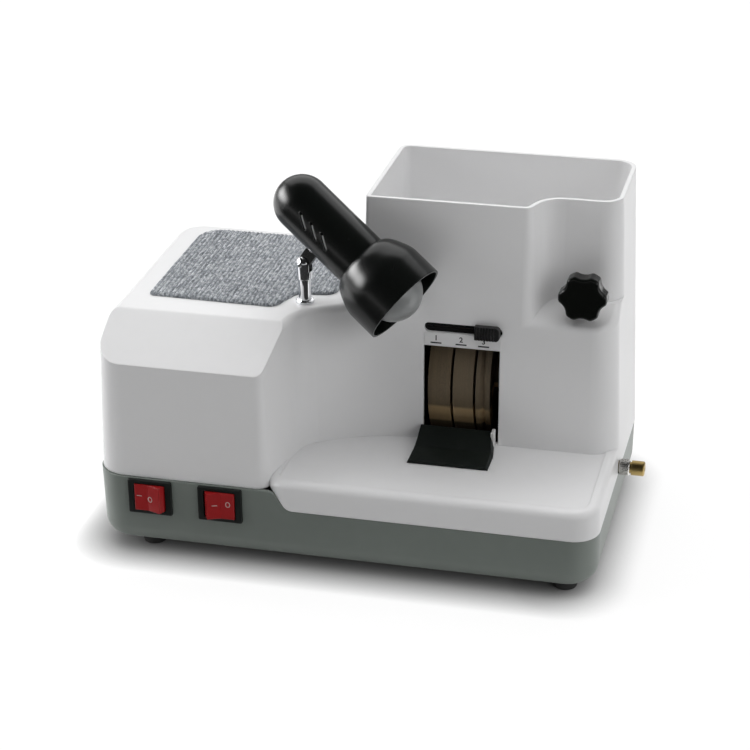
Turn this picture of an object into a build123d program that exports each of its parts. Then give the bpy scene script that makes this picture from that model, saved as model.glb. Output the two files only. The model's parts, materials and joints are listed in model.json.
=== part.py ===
from build123d import *
import os
from math import cos, radians, sin, tan

# Optical lens edger, a hand edger for spectacle lenses. Millimetres, +Z up, the front faces -Y.
# The origin is on the bench, in the middle of the whole footprint, drain fitting included.

# ---------------------------------------------------------------- driving dimensions
# Housing
width = 346.0
foot_height = 8.0
low_rim = 46.0  # joint line of base and cover under the shelf
high_rim = 59.5  # joint line under the motor block
shelf_top = 66.5
block_top = 164.5
tank_rim = 239.0
wall = 3.0
cover_draft = 2.0
base_draft = 1.2
seam = 0.3  # gap left where two mouldings meet
corner_radius = 22.0
base_edge_radius = 13.0

# Motor block, its sloping brow and the side that sweeps back into the tower
block_width = 122.5
block_setback = 1.2
block_corner_radius = 10.0
block_edge_radius = 5.0
brow_height = 141.0
brow_setback = 4.4
brow_depth = 45.9
elbow_from_left = 134.0
elbow_from_front = 61.0
elbow_radius = 24.0
sweep_from_left = 172.7
sweep_radius = 118.0
block_overlap = 235.0  # how far the block's form runs on inside the tower

# Shelf
shelf_depth = 88.3  # front of the shelf to the tower, at the low rim
shelf_from_left = 121.0
shelf_left_radius = 14.0
shelf_right_radius = 18.0
shelf_edge_radius = 5.0
dish_border = 8.0
dish_depth = 1.0

# Water tower
tower_from_left = 163.5
tower_radius = 9.0
tower_rear_radius = 22.0
tower_left_rear_radius = 14.0
pocket_from_right = 60.0
pocket_lean = 9.0
pocket_depth = 22.5
pocket_mouth_radius = 12.0
pocket_root_radius = 11.0
pocket_side_radius = 20.0
ledge_drop = 8.0  # ledge's front edge below the tank floor
ledge_setback = 92.5
ledge_slope = 27.0
ledge_edge_radius = 5.0
tank_floor = 3.0
floor_over_wheels = 16.0

# Step of the joint line
step_from_left = 126.5
step_run = 10.0
step_radius = 8.0

# Grinding window, slider slot and shaft
window_margin = 1.4  # left edge of the window to the first wheel
window_width = 53.0
label_band = 13.4  # plain strip from the window up to the slot's centre line
slot_inset = 0.4
slot_width = 54.0
slot_height = 6.8
slot_below_floor = 16.0
spindle_height = 96.0
wheel_diameter = 100.0
first_wheel_from_left = 212.0
rough_width = 15.5
fine_width = 14.0
bevel_width = 10.0
bevel_groove = 2.2  # half width of the groove
bevel_groove_depth = 2.0
spacer_width = 2.0
spacer_diameter = 34.0
shaft_diameter = 12.0
shaft_start_from_left = 40.0
collar_width = 4.0
thread_diameter = 10.0
flange_width = 3.0
flange_diameter = 36.0
nut_width = 7.0
nut_across_flats = 17.0
thread_tail = 2.0
shaft_chamfer = 0.8
flange_chamfer = 1.0
web_depth = 3.0
web_margin = 9.0

# Running fits and clearances
running = 0.03  # radial, between a shaft and what it turns in
slip = 0.15  # radial, between a screw and its clearance hole
clearance = 0.3  # between mouldings that seat on each other

# Splash chamber, sized from the wheels that turn in it
chamber_wall = 2.5
chamber_before_wheels = 12.0
chamber_from_right = 30.0
wheel_gap = 1.5
wheel_floor_gap = 3.0
chamber_setback = 3.7
chamber_rear_gap = 4.0
chamber_rise = 2.4  # chamber's rim above the window
chamber_radius = 3.0
mouth_margin = 1.0
seal_diameter = 22.0
seal_lip = 1.0
seal_flange = 2.0
seal_flange_rim = 3.0

# Motor
can_diameter = 96.0
can_wall = 3.0
can_length = 84.0
can_from_left = 62.0
bell_depth = 14.0
bell_wall = 4.0
rotor_diameter = 56.0
rotor_length = 62.0
air_gap = 0.6
bell_vent_radius = 5.0
bell_vents = 8
bell_hub_setback = 2.0
stator_slots = 12
slot_length = 9.0
slot_across = 4.0
bearing_diameter = 28.0
bearing_width = 8.0
bolt_diameter = 4.0
bolt_length = 12.0
cradle_bolt_inset = 8.0
cradle_corner_radius = 4.0
cradle_width = 60.0
cradle_length = 70.0
cradle_plate = 4.0
capacitor_diameter = 30.0
capacitor_length = 56.0
capacitor_from_left = 75.0
capacitor_from_front = 60.0
capacitor_wall = 1.5
capacitor_edge_radius = 1.5
capacitor_clip_width = 14.0
capacitor_clip_ear = 12.0

# Rocker switches
switch_width = 31.0
switch_height = 25.5
switch_flange = 2.0
switch_body_width = 28.2
switch_body_height = 21.6
switch_body_depth = 22.0
switch_corner_radius = 1.2
switch_edge_radius = 0.8
motor_switch_from_left = 40.5
lamp_switch_from_left = 90.1
rocker_half_width = 9.3
rocker_height = 19.4
rocker_angle = 10.0
rocker_pivot_depth = 3.0
rocker_crown = 5.69  # pivot to the valley of the rocker's face
rocker_floor = 1.0
rocker_hub_radius = 3.0
trunnion_diameter = 3.0
trunnion_length = 1.2
blade_width = 6.3
blade_thickness = 0.8
blade_length = 9.0
blade_pitch = 14.0
blade_row = 11.0

# Lamp
post_from_left = 130.3
post_from_front = 81.4
post_diameter = 8.8
post_flange_diameter = 12.4
post_flange_height = 2.0
post_flange_edge = 0.8
post_top = 182.0
post_bore = 5.0
post_thread = 8.0
post_nut_across_flats = 13.0
post_nut_height = 4.0
post_thread_tail = 2.0
swivel_peg_length = 8.0
knuckle_height = 193.0  # height of the tilt pin
knuckle_diameter = 11.0
knuckle_slot = 4.4
lug_thickness = 4.0
lug_width = 9.0
slot_floor = 0.2  # knuckle slot's floor above the post
pin_diameter = 3.0
pin_stand_out = 1.0
pin_chamfer = 0.4
lamp_heading = -18.2
lamp_pitch = 35.0
lamp_offset = 35.0  # pin to the lamp's axis
lamp_reach = 72.7  # pin to the rim, along the lamp's axis
lamp_body_diameter = 38.8
lamp_length = 97.7  # rim to the centre of the round end
lamp_wall = 1.8
lamp_joint_length = 5.0
lamp_joint_step = 0.8
shade_diameter = 61.0
shade_neck_diameter = 40.0
shade_depth = 41.3
shade_straight = 19.0
shade_shoulder = 30.7
shade_shoulder_diameter = 55.0
shade_wall = 1.6
shade_lap = 3.0
shade_gap = 0.3
bulb_diameter = 40.0
bulb_setback = 11.6
bulb_wall = 1.0
bulb_cap_diameter = 14.0
bulb_neck_end = 42.0
bulb_cap_length = 20.0
bulb_cap_chamfer = 1.2
bulb_arc = 50.0  # half angle at which the ball runs into the neck
holder_diameter = 26.0
holder_length = 26.0
holder_flange = 3.0
holder_setback = 1.0
holder_flange_setback = 6.0
vent_count = 3
vent_setback = 13.0  # centre of the round end to the first vent
vent_pitch = 9.8
vent_length = 12.5
vent_width = 2.0
vent_slant = 33.0
vent_rise = 12.0  # degrees above the side of the body

# Water valve and its star knob
knob_from_right = 27.3
knob_above_floor = 13.3
knob_diameter = 33.0
knob_lobes = 6
knob_scallop_radius = 10.0
knob_scallop_depth = 2.4
knob_lobe_radius = 3.0
knob_thickness = 11.0
knob_edge_radius = 2.0
knob_standoff = 14.4
stem_diameter = 5.0
stem_grip = 6.5
stem_tail = 12.0
valve_neck_diameter = 10.0
valve_neck_end = 0.8
valve_body_diameter = 12.6
valve_body_length = 22.0
valve_bore_length = 14.0
valve_flange = 2.5
valve_flange_diameter = 14.4
valve_nut_height = 2.6
valve_nut_across_flats = 15.0
spout_diameter = 10.0
spout_setback = 9.0
spout_collar = 1.5
spout_collar_height = 2.0
spout_tail = 3.0
tube_diameter = 4.0
rail_above_slot = 7.3
rail_run = 18.0
rail_bend = 3.0
rail_end = 4.0

# Water selector slider
thumb_width = 17.4
thumb_height = 9.6
thumb_depth = 5.6
thumb_ribs = 8
thumb_groove = 0.8
thumb_groove_depth = 0.9
thumb_groove_shift = 1.5
thumb_corner_radius = 3.0
thumb_edge_radius = 0.6
thumb_inset = 1.0  # from the slot's right end
slider_neck_width = 12.0
carriage_width = 22.0
carriage_height = 12.0
carriage_plate = 2.5
chute_width = 9.0
chute_height = 6.0
chute_length = 15.0
chute_wall = 1.4
chute_drop = -2.0
chute_hole = 3.0

# Splash apron and its clip
apron_from_left = 208.0
apron_width = 56.0
apron_top_width = 49.5
apron_front = 49.5
apron_fold = 20.0  # front edge to where the apron starts to climb
apron_run = 38.2
apron_lip = 2.0
apron_fold_height = 3.4
apron_rise = 9.8
apron_side_slope = 1.6
apron_back_inset = 2.5
clip_from_left = 259.6
clip_setback = 2.0
clip_edge_radius = 0.6
clip_width = 2.2
clip_depth = 7.0
clip_height = 11.0

# Drain, power inlet, feet, screws and mat
drain_from_front = 105.5
drain_above_chamber = 9.5
drain_diameter = 8.0
drain_tail = 7.0
drain_shoulder = 3.0
drain_chamfer = 0.8
drain_bore = 4.0
drain_reach = 18.0
drain_ring_diameter = 11.0
drain_ring_width = 8.0
drain_gap = 1.0
barb_diameter = 10.4
drain_nut_across_flats = 12.0
drain_nut_width = 3.0
inlet_from_left = 60.0
inlet_height = 33.0
inlet_flange_width = 50.0
inlet_flange_height = 22.5
inlet_flange = 2.5
inlet_body_width = 27.0
inlet_body_height = 19.6
inlet_socket_width = 24.0
inlet_socket_height = 16.4
inlet_socket_depth = 16.0
inlet_body_depth = 24.0
inlet_screw_pitch = 40.0
inlet_screw = 3.0
inlet_screw_head = 5.6
inlet_head_height = 1.6
inlet_screw_length = 8.0
inlet_flange_radius = 4.0
inlet_body_radius = 2.0
inlet_socket_radius = 3.0
inlet_pin_pitch = 7.0
inlet_pin_shift = 2.0
inlet_pin_width = 2.0
inlet_pin_height = 4.0
inlet_pin_setback = 3.0
foot_diameter = 18.0
foot_left_inset = 34.0
foot_right_inset = 23.0
foot_end_inset = 23.0
foot_draft = 8.0
foot_edge_radius = 1.2
foot_screw = 4.0
foot_screw_recess = 4.0
foot_screw_length = 12.0
foot_head_height = 2.4
head_height = 2.6
boss_diameter = 11.0
boss_inset = 21.0
boss_from_ends = 45.0
post_foot = 10.0
cover_screw = 4.0
cover_screw_grip = 14.0
cover_screw_seat = 8.0  # joint line down to the screw head
cover_screw_gap = 2.0  # end of the screw to the end of its hole
mat_from_left = 22.0
mat_behind_brow = 23.1
mat_beside_tower = 13.0
mat_rear_margin = 14.0
mat_notch = 25.0  # how far the mat steps back behind the lamp post
mat_skew = 2.0
mat_notch_skew = 5.0
mat_thickness = 2.6
mat_gap = 0.3
louvre_offset = 45.0
louvre_count = 9
louvre_pitch = 8.0
louvre_width = 3.4
louvre_height = 22.0

# ---------------------------------------------------------------- derived places
chamber_depth = wheel_diameter + 2 * (wheel_gap + chamber_wall)
chamber_from_front = shelf_depth + wall + chamber_setback
spindle_from_front = chamber_from_front + chamber_depth / 2
depth = chamber_from_front + chamber_depth + chamber_rear_gap + wall
left = -(width + drain_reach) / 2
right = left + width
middle = left + width / 2
front, back = -depth / 2, depth / 2
lean = tan(radians(cover_draft))
tower_front = front + shelf_depth
pocket_back = tower_front + pocket_depth
block_front = front + block_setback
pocket_left = right - pocket_from_right
tank_floor_top = spindle_height + wheel_diameter / 2 + floor_over_wheels + tank_floor
ledge_height = tank_floor_top - ledge_drop
slot_centre_height = tank_floor_top - slot_below_floor
window_top = slot_centre_height - label_band
knob_height = tank_floor_top + knob_above_floor
switch_centre_height = low_rim
window_left = left + first_wheel_from_left - window_margin
slot_left = window_left + slot_inset


def tower_face(height):
    """Depth at which the tower's front face stands at a height."""
    return tower_front + lean * (height - low_rim)


def pocket_face(height):
    """Depth of the pocket's back face at a height."""
    return pocket_back + lean * (height - low_rim)


def leaning_plane(x, y, height):
    """Plane on a leaning front wall, its normal pointing out of the wall."""
    tilt = radians(cover_draft)
    return Plane(origin=(x, y, height), x_dir=(1, 0, 0), z_dir=(0, -cos(tilt), sin(tilt)))


def front_plane(y):
    """Upright plane at a depth, its normal pointing to the front."""
    return Plane.XZ.offset(-y)


def side_plane(x):
    """Upright plane across the width at x, its normal pointing right, local x to the back."""
    return Plane.YZ.offset(x)


def save(piece, name):
    """Label a finished sub-part and write its STEP file."""
    piece.label = name
    export_step(piece, f"parts/{name}.step")


os.makedirs("parts", exist_ok=True)


# ---------------------------------------------------------------- housing forms
def block_form(inset):
    """Motor block with its brow and swept side, drawn in by inset."""
    with BuildPart() as block:
        with BuildSketch(Plane.XY.offset(low_rim)):
            with BuildLine():
                FilletPolyline(
                    (left, block_front),
                    (left + block_width, block_front),
                    (left + elbow_from_left, front + elbow_from_front),
                    (left + sweep_from_left, tower_front),
                    (left + block_overlap, tower_front),
                    (left + block_overlap, back),
                    (left, back),
                    radius=[
                        corner_radius,
                        block_corner_radius,
                        elbow_radius,
                        sweep_radius,
                        0,
                        0,
                        corner_radius,
                    ],
                    close=True,
                )
            make_face()
            if inset:
                offset(amount=-inset)
        extrude(amount=block_top - inset - low_rim, taper=cover_draft)
        brow = Plane(
            origin=(0, front + brow_setback, brow_height),
            x_dir=(1, 0, 0),
            z_dir=(0, brow_height - block_top, brow_depth - brow_setback),
        )
        split(bisect_by=brow.offset(-inset), keep=Keep.BOTTOM)
        if not inset:
            fillet(block.faces().sort_by(Axis.Z)[-1].edges(), block_edge_radius)
    return block.part


def tower_form(inset, bottom, top):
    """Water tower with the pocket at its front right corner, between two heights."""
    with BuildPart() as tower:
        with BuildSketch(Plane.XY.offset(low_rim)):
            with BuildLine():
                FilletPolyline(
                    (left + tower_from_left, tower_front),
                    (pocket_left, tower_front),
                    (pocket_left + pocket_lean, pocket_back),
                    (right, pocket_back),
                    (right, back),
                    (left + tower_from_left, back),
                    radius=[
                        tower_radius,
                        pocket_mouth_radius,
                        pocket_root_radius,
                        pocket_side_radius,
                        tower_rear_radius,
                        tower_left_rear_radius,
                    ],
                    close=True,
                )
            make_face()
            if inset:
                offset(amount=-inset)
        extrude(amount=tank_rim + inset - low_rim, taper=cover_draft)
        if bottom > low_rim:
            split(bisect_by=Plane.XY.offset(bottom), keep=Keep.TOP)
        if top < tank_rim:
            split(bisect_by=Plane.XY.offset(top), keep=Keep.BOTTOM)
    return tower.part


def ledge_form(inset, top):
    """Corner of the tower below the pocket, closed by the sloping ledge."""
    slope = radians(ledge_slope)
    ledge = Plane(
        origin=(0, front + ledge_setback, ledge_height), x_dir=(1, 0, 0), z_dir=(0, -sin(slope), cos(slope))
    )
    with BuildPart() as corner:
        with BuildSketch(Plane.XY.offset(low_rim)):
            with BuildLine():
                FilletPolyline(
                    (left + tower_from_left, tower_front),
                    (right, tower_front),
                    (right, back),
                    (left + tower_from_left, back),
                    radius=[tower_radius, pocket_side_radius, tower_rear_radius, tower_left_rear_radius],
                    close=True,
                )
            make_face()
            if inset:
                offset(amount=-inset)
        extrude(amount=top - low_rim, taper=cover_draft)
        split(bisect_by=ledge.offset(-inset), keep=Keep.BOTTOM)
        if not inset:
            fillet(corner.faces().filter_by(ledge).edges().sort_by(Axis.Y)[0], ledge_edge_radius)
    return corner.part


def shelf_form(inset):
    """Shelf in front of the tower, with a shallow dish in its top."""
    with BuildPart() as shelf:
        with BuildSketch(Plane.XY.offset(low_rim)) as plan:
            with BuildLine():
                FilletPolyline(
                    (left + shelf_from_left, front),
                    (right, front),
                    (right, tower_front + shelf_right_radius),
                    (left + shelf_from_left, tower_front + shelf_right_radius),
                    radius=[shelf_left_radius, shelf_right_radius, 0, 0],
                    close=True,
                )
            make_face()
            if inset:
                offset(amount=-inset)
        extrude(amount=shelf_top - inset - low_rim, taper=cover_draft)
        if not inset:
            fillet(shelf.faces().sort_by(Axis.Z)[-1].edges().sort_by(Axis.Y)[:-1], shelf_edge_radius)
            with BuildSketch(Plane.XY.offset(shelf_top)):
                add(plan.sketch.faces()[0].moved(Location((0, 0, -low_rim))))
                offset(amount=-dish_border)
            extrude(amount=-dish_depth, mode=Mode.SUBTRACT)
    return shelf.part


def below_joint_line(drop):
    """Everything below the joint line, lowered by drop, across the whole depth."""
    step = left + step_from_left
    with BuildPart() as region:
        with BuildSketch(front_plane(front - wall)):
            with BuildLine():
                FilletPolyline(
                    (left - wall, -wall),
                    (left - wall, high_rim - drop),
                    (step, high_rim - drop),
                    (step + step_run, low_rim - drop),
                    (right + wall, low_rim - drop),
                    (right + wall, -wall),
                    radius=[0, 0, step_radius, step_radius, 0, 0],
                    close=True,
                )
            make_face()
        extrude(amount=-(depth + 2 * wall))
    return region.part


def base_form(inset):
    """Grey tub up to the high rim, its sides drawn in downwards."""
    with BuildPart() as tub:
        with BuildSketch(Plane.XY.offset(high_rim)):
            with Locations((middle, 0)):
                RectangleRounded(width - 2 * inset, depth - 2 * inset, corner_radius - inset)
        extrude(amount=-(high_rim - foot_height - inset), taper=base_draft)
        fillet(tub.faces().sort_by(Axis.Z)[0].edges(), base_edge_radius - inset)
    return tub.part


# Screw bosses: base posts and the cover bosses that stand on them
boss_places = [
    (middle + sx * (width / 2 - boss_inset), sy * (depth / 2 - boss_from_ends))
    for sx in (-1, 1)
    for sy in (-1, 1)
]


def boss_rim(x):
    """Height of the joint line at a boss."""
    return high_rim if x < left + step_from_left else low_rim


# ---------------------------------------------------------------- top cover
slot_plane = leaning_plane(slot_left + slot_width / 2, tower_face(slot_centre_height), slot_centre_height)
knob_x = right - knob_from_right
knob_plane = leaning_plane(knob_x, pocket_face(knob_height), knob_height)
post_x, post_y = left + post_from_left, front + post_from_front
drain_y = front + drain_from_front
drain_height = spindle_height - wheel_diameter / 2 - wheel_floor_gap - chamber_wall + drain_above_chamber
spout_x, spout_y = knob_x, pocket_face(knob_height) + wall + spout_setback

with BuildPart() as top_cover:
    add(block_form(0))
    add(ledge_form(0, tank_floor_top + wall))
    add(tower_form(0, low_rim, tank_rim))
    add(shelf_form(0))
    # hollow for the motor and the wheels, then the tank above its own floor
    add(block_form(wall), mode=Mode.SUBTRACT)
    add(ledge_form(wall, tank_floor_top - tank_floor), mode=Mode.SUBTRACT)
    add(tower_form(wall, low_rim, tank_floor_top - tank_floor), mode=Mode.SUBTRACT)
    add(shelf_form(wall), mode=Mode.SUBTRACT)
    add(tower_form(wall, tank_floor_top, tank_rim + wall), mode=Mode.SUBTRACT)
    # bosses stand on the base posts
    for x, y in boss_places:
        with BuildSketch(Plane.XY.offset(boss_rim(x))):
            with Locations((x, y)):
                Circle(boss_diameter / 2)
        extrude(amount=cover_screw_grip + wall)
        # web from the boss into the side wall
        side = 1 if x > middle else -1
        with BuildSketch(Plane.XY.offset(boss_rim(x))):
            with Locations((x + side * (boss_inset - wall / 2) / 2, y)):
                Rectangle(boss_inset - wall / 2, wall)
        extrude(amount=cover_screw_grip)
        with BuildSketch(Plane.XY.offset(boss_rim(x))):
            with Locations((x, y)):
                Circle(cover_screw / 2 + running)
        extrude(amount=cover_screw_grip, mode=Mode.SUBTRACT)
    add(below_joint_line(0), mode=Mode.SUBTRACT)
    # grinding window
    with BuildSketch(front_plane(tower_front - wall)):
        with Locations((window_left + window_width / 2, (window_top + shelf_top) / 2)):
            Rectangle(window_width, window_top - shelf_top)
    extrude(amount=-5 * wall, mode=Mode.SUBTRACT)
    # slot of the water selector
    with BuildSketch(slot_plane.offset(wall)):
        SlotOverall(slot_width, slot_height)
    extrude(amount=-3 * wall, mode=Mode.SUBTRACT)
    # valve neck, tank outlet, lamp post and drain
    with BuildSketch(knob_plane.offset(wall)):
        Circle(valve_neck_diameter / 2 + slip)
    extrude(amount=-3 * wall, mode=Mode.SUBTRACT)
    with BuildSketch(Plane.XY.offset(tank_floor_top + wall)):
        with Locations((spout_x, spout_y)):
            Circle(spout_diameter / 2 + slip)
    extrude(amount=-3 * wall, mode=Mode.SUBTRACT)
    with BuildSketch(Plane.XY.offset(block_top)):
        with Locations((post_x, post_y)):
            Circle(post_thread / 2 + slip)
    extrude(amount=-2 * wall, mode=Mode.SUBTRACT)
    with BuildSketch(side_plane(right + wall)):
        with Locations((drain_y, drain_height)):
            Circle(drain_diameter / 2 + clearance)
        with Locations((drain_y, (drain_height + low_rim) / 2)):
            Rectangle(drain_diameter + 2 * clearance, abs(drain_height - low_rim))
    extrude(amount=-3 * wall, mode=Mode.SUBTRACT)
save(top_cover.part, "top_cover")

# ---------------------------------------------------------------- base
switch_centres = {
    "motor_switch": left + motor_switch_from_left,
    "lamp_switch": left + lamp_switch_from_left,
}
foot_places = [
    (x, sy * (depth / 2 - foot_end_inset))
    for x in (left + foot_left_inset, right - foot_right_inset)
    for sy in (-1, 1)
]
inlet_x = left + inlet_from_left
inlet_face = back - tan(radians(base_draft)) * (high_rim - inlet_height - inlet_flange_height / 2)
cradle_x = left + can_from_left + can_length / 2
spindle_y = front + spindle_from_front
cradle_bolt_x = cradle_length / 2 - cradle_bolt_inset
cradle_bolt_y = cradle_width / 2 - cradle_bolt_inset
cradle_bolts = [
    (cradle_x + sx * cradle_bolt_x, spindle_y + sy * cradle_bolt_y)
    for sx in (-1, 1)
    for sy in (-1, 1)
]

with BuildPart() as base_tub:
    add(base_form(0))
    add(base_form(wall), mode=Mode.SUBTRACT)
    # posts under the cover's bosses, feet and motor bolts
    for x, y in boss_places:
        with BuildSketch(Plane.XY.offset(foot_height + wall / 2)):
            with Locations((x, y)):
                Circle(boss_diameter / 2)
        extrude(amount=boss_rim(x) - foot_height - wall / 2)
    with BuildSketch(Plane.XY.offset(foot_height + wall / 2)):
        with Locations(*foot_places):
            Circle(boss_diameter / 2)
        with Locations(*cradle_bolts):
            Circle(boss_diameter / 2)
    extrude(amount=post_foot)
    add(below_joint_line(seam), mode=Mode.INTERSECT)
    for x, y in boss_places:
        with BuildSketch(Plane.XY.offset(foot_height)):
            with Locations((x, y)):
                Circle(cover_screw / 2 + slip)
        extrude(amount=high_rim, mode=Mode.SUBTRACT)
        with BuildSketch(Plane.XY.offset(foot_height)):
            with Locations((x, y)):
                Circle(cover_screw + slip)
        extrude(amount=boss_rim(x) - foot_height - cover_screw_seat, mode=Mode.SUBTRACT)
    with BuildSketch(Plane.XY.offset(foot_height)):
        with Locations(*foot_places):
            Circle(foot_screw / 2 + running)
        with Locations(*cradle_bolts):
            Circle(foot_screw / 2 + running)
    extrude(amount=foot_screw_length, mode=Mode.SUBTRACT)
    # switch cut-outs
    with BuildSketch(front_plane(front - wall)):
        for x in switch_centres.values():
            with Locations((x, switch_centre_height)):
                Rectangle(switch_body_width + 2 * clearance, switch_body_height + 2 * clearance)
    extrude(amount=-3 * wall, mode=Mode.SUBTRACT)
    # power inlet, its screws and the motor louvres at the back
    with BuildSketch(front_plane(back + wall)):
        with Locations((inlet_x, inlet_height)):
            Rectangle(inlet_body_width + 2 * clearance, inlet_body_height + 2 * clearance)
            with GridLocations(inlet_screw_pitch, 1, 2, 1):
                Circle(inlet_screw / 2 + running)
        with Locations((cradle_x + louvre_offset, inlet_height)):
            with GridLocations(louvre_pitch, 1, louvre_count, 1):
                SlotOverall(louvre_height, louvre_width, rotation=90)
    extrude(amount=3 * wall, mode=Mode.SUBTRACT)
    # saddle for the drain fitting
    with BuildSketch(side_plane(right + wall)):
        with Locations((drain_y, drain_height)):
            Circle(drain_ring_diameter / 2 + clearance)
        with Locations((drain_y, (drain_height + low_rim) / 2)):
            Rectangle(drain_diameter + 2 * clearance, abs(drain_height - low_rim))
    extrude(amount=-3 * wall, mode=Mode.SUBTRACT)
save(base_tub.part, "base_tub")

# ---------------------------------------------------------------- feet and screws
with BuildPart() as rubber_feet:
    with BuildSketch(Plane.XY.offset(foot_height)):
        with Locations(*foot_places):
            Circle(foot_diameter / 2)
    extrude(amount=-foot_height, taper=foot_draft)
    fillet(rubber_feet.faces().filter_by(Plane.XY).group_by(Axis.Z)[0].edges(), foot_edge_radius)
    with BuildSketch(Plane.XY):
        with Locations(*foot_places):
            Circle(foot_screw + slip)
    extrude(amount=foot_screw_recess, mode=Mode.SUBTRACT)
    with BuildSketch(Plane.XY):
        with Locations(*foot_places):
            Circle(foot_screw / 2 + slip)
    extrude(amount=foot_height, mode=Mode.SUBTRACT)
save(rubber_feet.part, "rubber_feet")

with BuildPart() as foot_screws:
    with BuildSketch(Plane.XY.offset(foot_screw_recess)):
        with Locations(*foot_places):
            Circle(foot_screw - slip)
    extrude(amount=-foot_head_height)
    with BuildSketch(Plane.XY.offset(foot_screw_recess)):
        with Locations(*foot_places):
            Circle(foot_screw / 2)
    extrude(amount=foot_screw_length)
save(foot_screws.part, "foot_screws")

with BuildPart() as cover_screws:
    for x, y in boss_places:
        seat = boss_rim(x) - cover_screw_seat
        with BuildSketch(Plane.XY.offset(seat)):
            with Locations((x, y)):
                Circle(cover_screw - slip)
        extrude(amount=-head_height)
        with BuildSketch(Plane.XY.offset(seat)):
            with Locations((x, y)):
                Circle(cover_screw / 2)
        extrude(amount=cover_screw_seat + cover_screw_grip - cover_screw_gap)
save(cover_screws.part, "cover_screws")

# ---------------------------------------------------------------- mat on the motor block
mat_left = left + mat_from_left
mat_front = front + brow_depth + mat_behind_brow
mat_back = back - mat_rear_margin
mat_right = left + tower_from_left - mat_beside_tower
with BuildPart() as bench_mat:
    with BuildSketch(Plane.XY.offset(block_top + mat_gap)):
        with BuildLine():
            FilletPolyline(
                (mat_left, mat_front),
                (post_x - 2 * post_diameter, mat_front - mat_skew),
                (post_x - post_diameter, mat_front - mat_skew + mat_notch),
                (mat_right, mat_front - mat_skew + mat_notch + mat_notch_skew),
                (mat_right, mat_back),
                (mat_left, mat_back),
                radius=[4, 8, 7, 8, 10, 8],
                close=True,
            )
        make_face()
    extrude(amount=mat_thickness)
save(bench_mat.part, "bench_mat")

# ---------------------------------------------------------------- rocker switches
pivot_y = front + rocker_pivot_depth
valley = rocker_crown + rocker_half_width * tan(radians(rocker_angle))
rocker_radius = (rocker_half_width**2 + valley**2) ** 0.5


def build_switch(name, x, pressed_side):
    """Frame with its round well, and the rocker in it with one side pressed (-1 left, 1 right)."""
    centre = (x, switch_centre_height)
    with BuildPart() as frame:
        with BuildSketch(front_plane(front)):
            with Locations(centre):
                RectangleRounded(switch_width, switch_height, switch_corner_radius)
        extrude(amount=switch_flange)
        fillet(frame.faces().sort_by(Axis.Y)[0].edges(), switch_edge_radius)
        with BuildSketch(front_plane(front)):
            with Locations(centre):
                Rectangle(switch_body_width, switch_body_height)
        extrude(amount=-switch_body_depth)
        with BuildSketch(Plane.XY.offset(switch_centre_height - rocker_height / 2 - clearance)):
            with Locations((x, pivot_y)):
                Circle(rocker_radius + clearance)
        extrude(amount=rocker_height + 2 * clearance, mode=Mode.SUBTRACT)
        with BuildSketch(Plane.XY.offset(switch_centre_height)):
            with Locations((x, pivot_y)):
                Circle(trunnion_diameter / 2 + running)
        extrude(amount=rocker_height / 2 + trunnion_length + clearance, both=True, mode=Mode.SUBTRACT)
    save(frame.part, f"{name}_frame")

    with BuildPart() as rocker:
        with BuildSketch(Plane.XY.offset(switch_centre_height)):
            with Locations(Location((x, pivot_y), pressed_side * rocker_angle)):
                with BuildLine(mode=Mode.PRIVATE) as face_line:
                    Polyline(
                        (-rocker_half_width, -valley),
                        (0, -rocker_crown),
                        (rocker_half_width, -valley),
                        (rocker_radius, 0),
                        (rocker_radius, rocker_floor),
                        (-rocker_radius, rocker_floor),
                        (-rocker_radius, 0),
                        close=True,
                    )
                with BuildSketch(mode=Mode.PRIVATE) as section:
                    make_face(face_line.edges())
                    Circle(rocker_radius, mode=Mode.INTERSECT)
                    Circle(rocker_hub_radius)
                add(section.sketch)
        extrude(amount=rocker_height / 2, both=True)
        with BuildSketch(Plane.XY.offset(switch_centre_height)):
            with Locations((x, pivot_y)):
                Circle(trunnion_diameter / 2)
        extrude(amount=rocker_height / 2 + trunnion_length, both=True)
    save(rocker.part, f"{name}_rocker")


build_switch("motor_switch", switch_centres["motor_switch"], -1)
build_switch("lamp_switch", switch_centres["lamp_switch"], 1)

with BuildPart() as switch_blades:
    with BuildSketch(front_plane(front + switch_body_depth)):
        for x in switch_centres.values():
            with Locations((x, switch_centre_height)):
                with GridLocations(blade_pitch, blade_row, 2, 2):
                    Rectangle(blade_thickness, blade_width)
    extrude(amount=-blade_length)
save(switch_blades.part, "switch_blades")

# ---------------------------------------------------------------- grinding spindle
wheel_radius = wheel_diameter / 2
spindle_axis = Axis((0, spindle_y, spindle_height), (1, 0, 0))
rough_x = left + first_wheel_from_left
fine_x = rough_x + rough_width + spacer_width
bevel_x = fine_x + fine_width + spacer_width
stack_end = bevel_x + bevel_width


def build_wheel(name, start, across, grooved):
    """Grinding wheel on the spindle: a rim, a thinner web and a hub, from x = start."""
    hub = spacer_diameter / 2
    bore = shaft_diameter / 2 + running
    with BuildPart() as wheel:
        with BuildSketch(Plane.XY.offset(spindle_height)):
            with Locations((start + across / 2, spindle_y + (wheel_radius + bore) / 2)):
                Rectangle(across, wheel_radius - bore)
            for side in (0, across):
                with Locations((start + side, spindle_y + (hub + wheel_radius - web_margin) / 2)):
                    Rectangle(2 * web_depth, wheel_radius - web_margin - hub, mode=Mode.SUBTRACT)
            if grooved:
                with BuildLine():
                    Polyline(
                        (start + across / 2 - bevel_groove, spindle_y + wheel_radius),
                        (start + across / 2, spindle_y + wheel_radius - bevel_groove_depth),
                        (start + across / 2 + bevel_groove, spindle_y + wheel_radius),
                        close=True,
                    )
                make_face(mode=Mode.SUBTRACT)
        revolve(axis=spindle_axis)
    save(wheel.part, name)


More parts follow.
